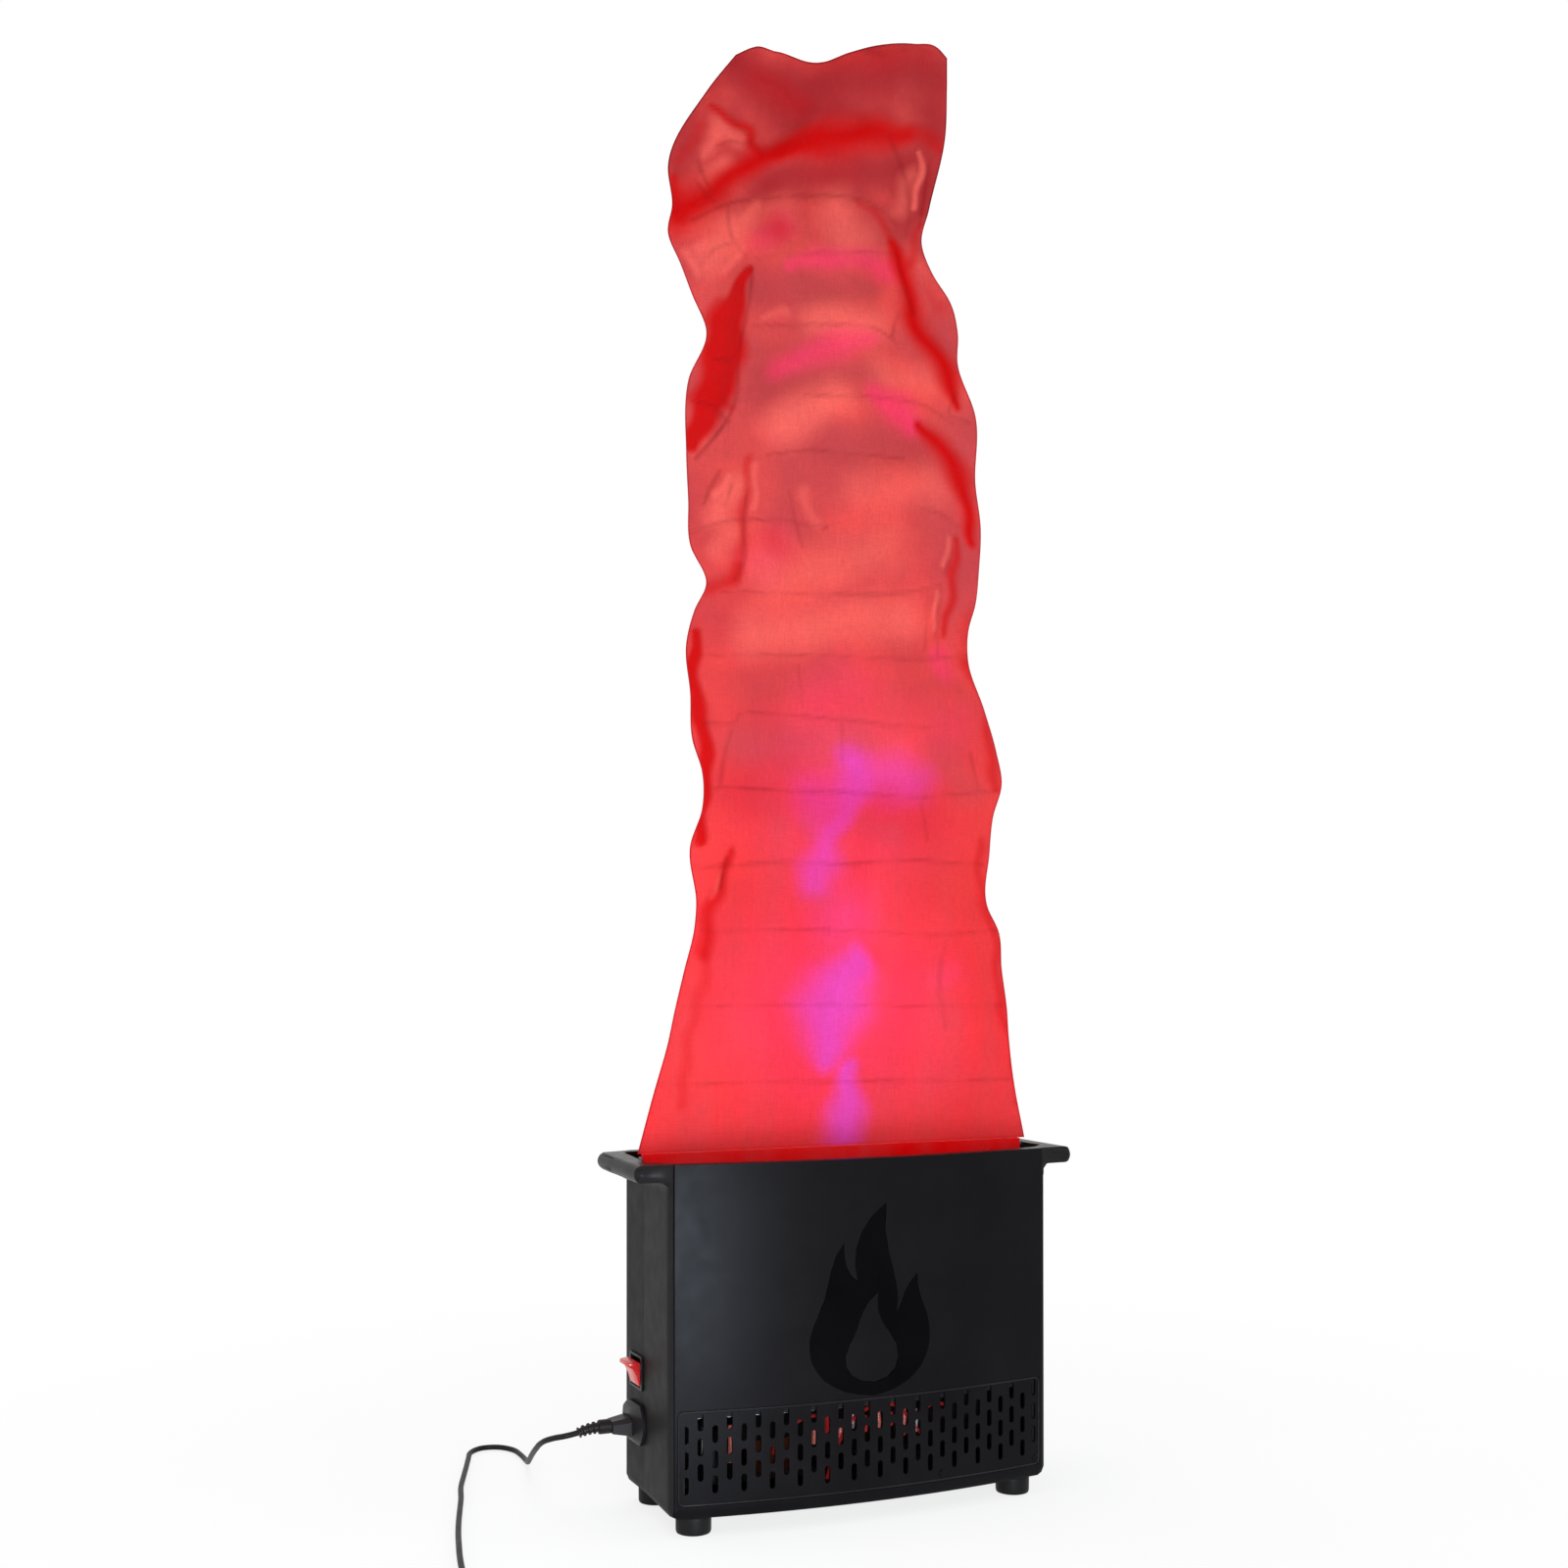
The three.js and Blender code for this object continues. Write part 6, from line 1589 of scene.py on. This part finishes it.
@dataclass
class Housing:
    """The two shells, the front panel with its emblem, the grille, the feet and their screws."""

    shells: tuple[Copy, ...] = (
        Copy("front_shell", "shell_front", Paint.SHELL, 0.8, sharp=40),
        Copy("rear_shell", "shell_rear", Paint.SHELL, 0.8, sharp=40),
    )
    panel: Copy = Copy("front_panel", "panel_front", Paint.PANEL, 1.2, 3, 40)
    grille: Copy = Copy("front_grille", "intake_grille", Paint.GRILLE, 0.5, sharp=40)
    bow_radius: float = 954.6
    front: float = -75.25
    emblem_width: float = 124
    emblem_height: float = 168
    emblem_base: float = 110
    emblem_shift: float = -3
    emblem_proud: float = 0.15
    emblem_thickness: float = 1.0
    emblem_steps: int = 20
    emblem_slices: int = 12
    emblem_slice: float = 5.5
    grille_half: float = 177
    grille_base: float = 27
    grille_height: float = 81
    grille_corner: float = 5
    grille_set_back: float = 0.6
    bead_radius: float = 0.8
    bead_pace: float = 5
    bead_corner_steps: int = 4
    bead_sides: int = 10
    lip_ends: Bullnose = Bullnose()
    seam_y: float = 22
    tongue_line: tuple[tuple[float, float], ...] = ((190.4, 317), (190.4, 306), (177.05, 306), (177.05, 19))
    tongue_bite: float = 0.05
    tongue_thickness: float = 0.8
    tongue_reach: float = 3
    flame_shares: tuple[Shares, ...] = (
        ((0.02, 0), (0.30, 0.02), (0.50, 0.14), (0.47, 0.33)),
        ((0.47, 0.33), (0.45, 0.45), (0.36, 0.50), (0.37, 0.62)),
        ((0.37, 0.62), (0.25, 0.55), (0.25, 0.45), (0.20, 0.42)),
        ((0.20, 0.42), (0.26, 0.62), (0.06, 0.74), (0.12, 1)),
        ((0.12, 1), (-0.10, 0.90), (-0.16, 0.74), (-0.10, 0.60)),
        ((-0.10, 0.60), (-0.16, 0.62), (-0.22, 0.68), (-0.21, 0.80)),
        ((-0.21, 0.80), (-0.34, 0.70), (-0.30, 0.56), (-0.40, 0.44)),
        ((-0.40, 0.44), (-0.58, 0.22), (-0.40, 0.02), (0.02, 0)),
    )
    island_shares: tuple[Shares, ...] = (
        ((0.03, 0.07), (0.22, 0.08), (0.28, 0.22), (0.14, 0.33)),
        ((0.14, 0.33), (0.06, 0.40), (0.04, 0.46), (0.06, 0.54)),
        ((0.06, 0.54), (-0.10, 0.46), (-0.08, 0.36), (-0.16, 0.28)),
        ((-0.16, 0.28), (-0.26, 0.17), (-0.16, 0.07), (0.03, 0.07)),
    )
    foot_places: tuple[tuple[str, float, float], ...] = (
        ("front_left", -157.2, -43.25), ("front_right", 157.2, -43.25),
        ("rear_left", -157.2, 55.45), ("rear_right", 157.2, 55.45),
    )
    foot_profile: Shares = (
        (0, 8), (5.5, 8), (5.5, 0.6), (6.1, 0), (13.6, 0), (14.7, 0.4), (15.2, 1.4), (15.4, 3), (15.5, 13.2),
        (15.3, 14.8), (14.6, 15.7), (0, 15.7),
    )
    screws: tuple[str, ...] = (
        "grille_screw_middle", "grille_screw_right", "back_screw_low_left", "back_screw_low_right",
        "back_screw_high_left", "back_screw_high_right",
    )

    def build(self, shop: Workshop) -> None:
        """Makes the housing's pieces.

        Args:
            shop: The workshop.
        """
        for shell in self.shells:
            shop.copy(shell, self.lip_ends)
        shop.copy(self.panel)
        shop.dress(self.tongue(shop), Paint.SHELL)
        shop.dress(self.emblem(shop), Paint.EMBLEM, nodes=("flame_emblem",))
        shop.copy(self.grille)
        shop.dress(self.bead(shop), Paint.SWITCH)
        self.feet(shop)
        for screw in self.screws:
            shop.paint_node(screw, Paint.SCREW)

    def bow(self, x: float) -> float:
        """Returns how far forward the bowed panel lies at a place across it."""
        return self.front + self.bow_radius - math.sqrt(self.bow_radius ** 2 - x * x)

    def bead(self, shop: Workshop) -> bpy.types.Object:
        """Makes the rounded rim along the grille's edge.

        Args:
            shop: The workshop.

        Returns:
            The rim.
        """
        middle = self.grille_base + self.grille_height / 2
        turn = self.grille_corner - self.bead_radius
        far_x, far_z = self.grille_half - self.grille_corner, self.grille_height / 2 - self.grille_corner
        plan = [(0.0, middle - far_z - turn)]
        for side_x, side_z, start in ((1, -1, 270), (1, 1, 0), (-1, 1, 90), (-1, -1, 180)):
            for step in range(self.bead_corner_steps + 1):
                angle = math.radians(start + 90 * step / self.bead_corner_steps)
                plan.append((side_x * far_x + turn * math.cos(angle),
                             middle + side_z * far_z + turn * math.sin(angle)))
        plan.append(plan[0])
        route = []
        for (x0, z0), (x1, z1) in zip(plan, plan[1:]):
            count = max(1, round(math.hypot(x1 - x0, z1 - z0) / self.bead_pace))
            for step in range(count):
                x, z = x0 + (x1 - x0) * step / count, z0 + (z1 - z0) * step / count
                route.append(Vector((x, self.bow(x) + self.grille_set_back, z)))
        route.append(route[0])
        return shop.tube("grille_bead", route, [self.bead_radius] * len(route), self.bead_sides)

    def outline(self, shares: Sequence[Shares]) -> list[Vector]:
        """Draws one outline of the emblem as seen from the front.

        Args:
            shares: Its curves, each by four places in shares of the width and height.

        Returns:
            Its points, x and height.
        """
        points = []
        for curve in shares:
            a, b, c, d = (Vector((self.emblem_shift + x * self.emblem_width,
                                  self.emblem_base + z * self.emblem_height)) for x, z in curve)
            for step in range(self.emblem_steps):
                t = step / self.emblem_steps
                points.append(a * (1 - t) ** 3 + b * 3 * t * (1 - t) ** 2 + c * 3 * t * t * (1 - t)
                              + d * t ** 3)
        return points

    def emblem(self, shop: Workshop) -> bpy.types.Object:
        """Makes the glossy flame inlay on the bowed panel.

        Args:
            shop: The workshop.

        Returns:
            The inlay.
        """
        shape = bmesh.new()
        for shares in (self.flame_shares, self.island_shares):
            ring = [shape.verts.new((point.x * MM, 0, point.y * MM)) for point in self.outline(shares)]
            for one, other in zip(ring, ring[1:] + ring[:1]):
                shape.edges.new((one, other))
        bmesh.ops.triangle_fill(shape, use_beauty=True, use_dissolve=False, edges=shape.edges,
                                normal=(0, -1, 0))
        for step in range(-self.emblem_slices, self.emblem_slices):
            everything = [*shape.verts, *shape.edges, *shape.faces]
            bmesh.ops.bisect_plane(shape, geom=everything, dist=CUT, plane_no=(1, 0, 0),
                                   plane_co=(step * self.emblem_slice * MM, 0, 0))
        for corner in shape.verts:
            corner.co.y = (self.bow(corner.co.x / MM) - self.emblem_proud) * MM
        thicken(shape, self.emblem_thickness)
        return shop.from_bmesh(shape, "flame_inlay", crisp=30)

    def tongue(self, shop: Workshop) -> bpy.types.Object:
        """Makes the thin tongue that closes the seam between the shells from inside.

        Args:
            shop: The workshop.

        Returns:
            The tongue.
        """
        bite, thick = self.tongue_bite, self.tongue_thickness
        front = (self.seam_y - self.tongue_reach) * MM
        outer = [(x + bite, z - bite) for x, z in self.tongue_line]
        inner = [(x - thick, z + thick) for x, z in reversed(self.tongue_line)]
        inner[-1] = (inner[-1][0], outer[0][1])
        half = [*outer, (0, outer[-1][1]), (0, inner[0][1]), *inner]
        shape = bmesh.new()
        for side in (-1, 1):
            shape.faces.new([shape.verts.new((side * x * MM, front, z * MM)) for x, z in half])
        bmesh.ops.remove_doubles(shape, verts=shape.verts, dist=JOIN)
        thicken(shape, 2 * self.tongue_reach)
        return shop.from_bmesh(shape, "seam_tongue", crisp=30)

    def feet(self, shop: Workshop) -> None:
        """Makes the four rubber feet.

        Args:
            shop: The workshop.
        """
        for name, x, y in self.foot_places:
            foot = shop.turned(f"rubber_foot_{name}", self.foot_profile, (x, y, 0))
            shop.dress(foot, Paint.RUBBER, nodes=(f"foot_{name}",))
            shop.paint_node(f"foot_screw_{name}", Paint.SCREW)


@dataclass
class Controls:
    """The rocker switch, the mains inlet and the cord's connector."""

    bezel: Copy = Copy("switch_frame", "switch_bezel", Paint.SWITCH, 0.6)
    inlet: Copy = Copy("mains_inlet", "inlet_socket", Paint.SWITCH, 0.6)
    connector: Copy = Copy("cord_connector", "connector_body", Paint.CONNECTOR, 1.0, 3)
    relief_start: Point = (-213.9, 45.5, 75.2)
    relief_length: float = 19
    relief_droop: float = 3.2
    relief_ribs: int = 4
    relief_radius: float = 5.7
    relief_end_radius: float = 4.8
    rib_depth: float = 1.4
    rib_steps: int = 12
    rib_edges: Spread = (0.35, 0.65)
    relief_sides: int = 24
    rocker_front: float = 26.7
    rocker_back: float = 52.3
    rocker_rounding: float = 0.7
    rocker_segments: int = 3
    rocker_profile: tuple[tuple[float, float], ...] = (
        (-192.4, 133.4), (-192.8, 130.2), (-188.8, 128.5), (-184.8, 120.4), (-182.4, 112.1), (-179.3, 113.3),
        (-175.8, 119.8), (-178.5, 130.6), (-184.7, 134.7),
    )

    def build(self, shop: Workshop) -> None:
        """Makes the controls.

        Args:
            shop: The workshop.
        """
        shop.copy(self.bezel)
        shop.dress(self.rocker(shop), Paint.ROCKER, Body.ROCKER, nodes=("rocker_button",))
        shop.copy(self.inlet)
        shop.copy(self.connector)
        shop.dress(self.relief(shop), Paint.CONNECTOR, nodes=("cord_strain_relief",))

    def rocker(self, shop: Workshop) -> bpy.types.Object:
        """Makes the rocker with its finger nose.

        Args:
            shop: The workshop.

        Returns:
            The rocker.
        """
        shape = bmesh.new()
        front = self.rocker_front * MM
        shape.faces.new([shape.verts.new((x * MM, front, z * MM)) for x, z in self.rocker_profile])
        thicken(shape, self.rocker_back - self.rocker_front)
        bmesh.ops.recalc_face_normals(shape, faces=shape.faces)
        round_off(shape, shape.edges, self.rocker_rounding, self.rocker_segments)
        return shop.from_bmesh(shape, "rocker_cap", crisp=30)

    def relief(self, shop: Workshop) -> bpy.types.Object:
        """Makes the ribbed strain relief.

        Args:
            shop: The workshop.

        Returns:
            The strain relief.
        """
        x, y, z = self.relief_start
        points, radii = [], []
        steps = self.relief_ribs * self.rib_steps
        taper = self.relief_end_radius - self.relief_radius
        for step in range(steps + 1):
            share = step / steps
            points.append(Vector((x - share * self.relief_length, y, z - self.relief_droop * share ** 2)))
            rib = 0.5 - 0.5 * math.cos(2 * math.pi * share * self.relief_ribs)
            radii.append(self.relief_radius + taper * share - self.rib_depth * smooth(*self.rib_edges, rib))
        return shop.tube("strain_relief_ribbed", points, radii, self.relief_sides)


@dataclass
class FanWheel:
    """A fan wheel: its round hub and its curved blades."""

    name: str
    x: float
    y: float = 10
    low: float = 79.7
    high: float = 96.7
    hub_radius: float = 20
    hub_lift: float = 0.4
    hub_round: Shares = ((20, 2.2), (19.2, 0.8), (17.5, 0.1))
    hub_steps: int = 36
    blades: int = 7
    root: float = 19.5
    tip: float = 53.2
    half_thickness: float = 0.7
    out_steps: int = 6
    along_steps: int = 5
    root_spread: float = 0.62
    spread_loss: float = 0.16
    sweep: float = 0.12
    inset: float = 2.2
    camber: float = 0.10
    crisp: float = 45

    def corner(self, shape: bmesh.types.BMesh, radius: float, angle: float,
               height: float) -> bmesh.types.BMVert:
        """Adds one corner to the wheel, by its radius, angle and height."""
        x, y = self.x + radius * math.cos(angle), self.y + radius * math.sin(angle)
        return shape.verts.new(Vector((x, y, height)) * MM)

    def hub(self, shape: bmesh.types.BMesh) -> None:
        """Makes the hub.

        Args:
            shape: The wheel in the making.
        """
        profile = [(self.hub_radius, self.low + self.hub_lift)]
        profile += [(radius, self.high - drop) for radius, drop in self.hub_round]
        angles = [2 * math.pi * step / self.hub_steps for step in range(self.hub_steps)]
        rings = [[self.corner(shape, radius, angle, height) for angle in angles]
                 for radius, height in profile]
        skin(shape, rings, self.hub_steps)
        shape.faces.new(reversed(rings[0]))
        shape.faces.new(rings[-1])

    def side(self, shape: bmesh.types.BMesh, start: float, offset: float) -> list[list[bmesh.types.BMVert]]:
        """Places the corners of one side of a blade.

        Args:
            shape: The wheel in the making.
            start: Angle of the blade's root.
            offset: Height of the side over the blade's middle.

        Returns:
            Rows of corners, from the root to the tip.
        """
        rise = self.high - self.low - 2 * self.inset
        rows = []
        for step in range(self.out_steps + 1):
            radius = self.root + (self.tip - self.root) * step / self.out_steps
            spread = self.root_spread - self.spread_loss * step / self.out_steps
            row = []
            for along in range(self.along_steps + 1):
                share = along / self.along_steps
                angle = start + spread * (share - 0.5) + self.sweep * step / self.out_steps
                height = self.low + self.inset + rise * (share + self.camber * math.sin(math.pi * share))
                row.append(self.corner(shape, radius, angle, height + offset))
            rows.append(row)
        return rows

    def blade(self, shape: bmesh.types.BMesh, start: float) -> None:
        """Adds one curved blade.

        Args:
            shape: The wheel in the making.
            start: Angle of the blade's root.
        """
        low, high = (self.side(shape, start, offset)
                     for offset in (-self.half_thickness, self.half_thickness))
        for out in range(self.out_steps):
            after = out + 1
            for step in range(self.along_steps):
                shape.faces.new((low[out][step], low[out][step + 1], low[after][step + 1], low[after][step]))
                shape.faces.new((high[out][step], high[after][step], high[after][step + 1],
                                 high[out][step + 1]))
            for step in (0, self.along_steps):
                shape.faces.new((low[out][step], low[after][step], high[after][step], high[out][step]))
        for out in (0, self.out_steps):
            for step in range(self.along_steps):
                shape.faces.new((low[out][step], high[out][step], high[out][step + 1], low[out][step + 1]))

    def build(self, shop: Workshop) -> bpy.types.Object:
        """Makes the wheel.

        Args:
            shop: The workshop.

        Returns:
            The wheel.
        """
        shape = bmesh.new()
        self.hub(shape)
        for blade in range(self.blades):
            self.blade(shape, blade * 2 * math.pi / self.blades)
        return shop.from_bmesh(shape, self.name, crisp=self.crisp)


@dataclass
class Works:
    """What shows through the grille and the open top: fans, tray, boards, lamps and wires."""

    fan_places: dict[str, float] = field(default_factory=lambda: {"left": -63, "right": 63})
    frame_rounding: float = 0.6
    guard_rounding: float = 0.35
    lamp_rows: dict[str, float] = field(default_factory=lambda: {"front": -32, "rear": 32})
    lamps_in_row: int = 3
    lamp_spacing: float = 105
    lamp_base: float = 236.2
    cup: Shares = ((0, 0), (10.4, 0), (11, 0.6), (13, 14.6), (12.7, 15), (12.1, 15), (11.8, 14.6), (9.8, 3),
                   (0, 3))
    cup_sides: int = 32
    dome: Shares = ((0, 3.2), (7.6, 3.2), (7.2, 5.2), (5.6, 7.4), (3, 8.8), (0, 9.2))
    dome_sides: int = 24
    wire_runs: dict[str, tuple[Point, ...]] = field(default_factory=lambda: {
        "wire_harness_left": ((-84, -46, 60), (-78, -48, 76), (-60, -50, 88), (-40, -50, 90), (-22, -49, 76)),
        "wire_harness_middle": ((-34, -50, 34), (-26, -53, 62), (-4, -54, 90), (30, -53, 94), (58, -50, 66)),
        "wire_harness_right": ((40, -52, 66), (50, -54, 80), (66, -53, 90), (84, -50, 88), (96, -46, 70)),
    })
    wire_radius: float = 1.5
    wire_steps: int = 8
    wire_sides: int = 10
    clip_count: int = 9
    clip_spacing: float = 12.6
    first_clip: float = -47
    clip_y: float = -50
    clip_low: float = 66
    clip_high: float = 84
    low_pace: int = 7
    low_range: int = 11
    high_pace: int = 5
    high_range: int = 9
    clip_bend: float = 0.8
    clip_radii: Point = (1.7, 2.1, 1.7)
    clip_paints: tuple[Paint, ...] = (Paint.ROSE_METAL, Paint.RED_WIRE, Paint.ROSE_METAL, Paint.ALUMINIUM,
                                      Paint.RED_WIRE)
    left_clips: tuple[tuple[float, float, float, Paint], ...] = ((-152, 64, 92, Paint.ALUMINIUM),
                                                                 (-126, 58, 90, Paint.ROSE_METAL))
    mat_half: float = 150
    mat_rise: float = 26
    mat_middle: float = 69
    mat_y: float = 70.5
    mat_ripple: float = 0.35
    mat_columns: int = 60
    mat_rows: int = 12
    ripple_across: float = 90
    ripple_up: float = 24

    def build(self, shop: Workshop) -> None:
        """Makes the works.

        Args:
            shop: The workshop.
        """
        shop.paint_node("fan_tray", Paint.ALUMINIUM)
        shop.paint_node("silk_bar", Paint.STEEL)
        for side, x in self.fan_places.items():
            shop.copy(Copy(f"fan_frame_{side}", f"fan_housing_{side}", Paint.FAN, self.frame_rounding))
            wheel = FanWheel(f"fan_wheel_{side}", x).build(shop)
            shop.dress(wheel, Paint.FAN, Body[f"IMPELLER_{side.upper()}"], nodes=(f"fan_impeller_{side}",))
            shop.copy(Copy(f"fan_guard_{side}", f"finger_guard_{side}", Paint.STEEL, self.guard_rounding))
        for row in self.lamp_rows:
            shop.paint_node(f"lamp_rail_{row}", Paint.ALUMINIUM)
            shop.paint_node(f"lamp_board_{row}", Paint.CIRCUIT)
            for index in range(self.lamps_in_row):
                self.lamp(shop, row, index)
        for name, paint in (("supply_board", Paint.CIRCUIT), ("controller_board", Paint.CIRCUIT),
                            ("transformer", Paint.COPPER), ("capacitor", Paint.SLEEVE),
                            ("inner_mains_lead", Paint.CORD)):
            shop.paint_node(name, paint)
        self.wires(shop)
        self.terminals(shop)
        self.shade_backing(shop)

    def terminals(self, shop: Workshop) -> None:
        """Makes the bright clips and leads that show in the grille's middle and left slots.

        Args:
            shop: The workshop.
        """
        clips = [(place * self.clip_spacing + self.first_clip,
                  self.clip_low + (place * self.low_pace) % self.low_range,
                  self.clip_high + (place * self.high_pace) % self.high_range,
                  self.clip_paints[place % len(self.clip_paints)]) for place in range(self.clip_count)]
        for index, (x, low, high, paint) in enumerate((*clips, *self.left_clips)):
            bend = (x + self.clip_bend, self.clip_y, (low + high) / 2)
            ends = [Vector(end) for end in ((x, self.clip_y, low), bend, (x, self.clip_y, high))]
            shop.dress(shop.tube(f"terminal_clip_{index + 1}", ends, self.clip_radii, self.wire_sides), paint)

    def shade_backing(self, shop: Workshop) -> None:
        """Makes the dark sheet behind the rear vents: painted shade, put there so that the background doesn't
        show through the vents.

        Args:
            shop: The workshop.
        """
        shape = bmesh.new()
        bmesh.ops.create_grid(shape, x_segments=self.mat_columns, y_segments=self.mat_rows, size=1)
        for corner in shape.verts:
            x, z = corner.co.x, corner.co.y
            ripple = self.mat_ripple * math.sin(x * self.ripple_across) * math.cos(z * self.ripple_up)
            place = (x * self.mat_half, self.mat_y + ripple, self.mat_middle + z * self.mat_rise)
            corner.co = Vector(place) * MM
        shop.dress(shop.from_bmesh(shape, "vent_shade_backing", crisp=180), Paint.FAN)

    def lamp(self, shop: Workshop, row: str, index: int) -> None:
        """Makes one lamp: its reflector cup and its lit face.

        Args:
            shop: The workshop.
            row: Front or rear.
            index: Which lamp of the row.
        """
        middle = self.lamps_in_row // 2
        place = ((index - middle) * self.lamp_spacing, self.lamp_rows[row], self.lamp_base)
        name = f"{row}_{index + 1}"
        reflector = shop.turned(f"reflector_{name}", self.cup, place, sides=self.cup_sides)
        shop.dress(reflector, Paint.LENS, nodes=(f"lamp_lens_{name}",))
        paint = Paint.LAMP_VIOLET if index == middle else Paint.LAMP_RED
        shop.dress(shop.turned(f"lamp_face_{name}", self.dome, place, sides=self.dome_sides), paint)

    def wires(self, shop: Workshop) -> None:
        """Makes the wires that glint behind the grille.

        Args:
            shop: The workshop.
        """
        for name, knots in self.wire_runs.items():
            points = centripetal([Vector(knot) for knot in knots], self.wire_steps) + [Vector(knots[-1])]
            wire = shop.tube(name, points, [self.wire_radius] * len(points), self.wire_sides)
            shop.dress(wire, Paint.RED_WIRE)


def main() -> None:
    """Builds the whole scene in order."""
    logging.basicConfig(level=logging.INFO, format="%(message)s")
    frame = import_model()
    shop = Workshop(frame)
    Studio().build()
    for assembly in (MainsCord(), Silk(), Housing(), Controls(), Works()):
        assembly.build(shop)


if __name__ == "__main__":
    main()
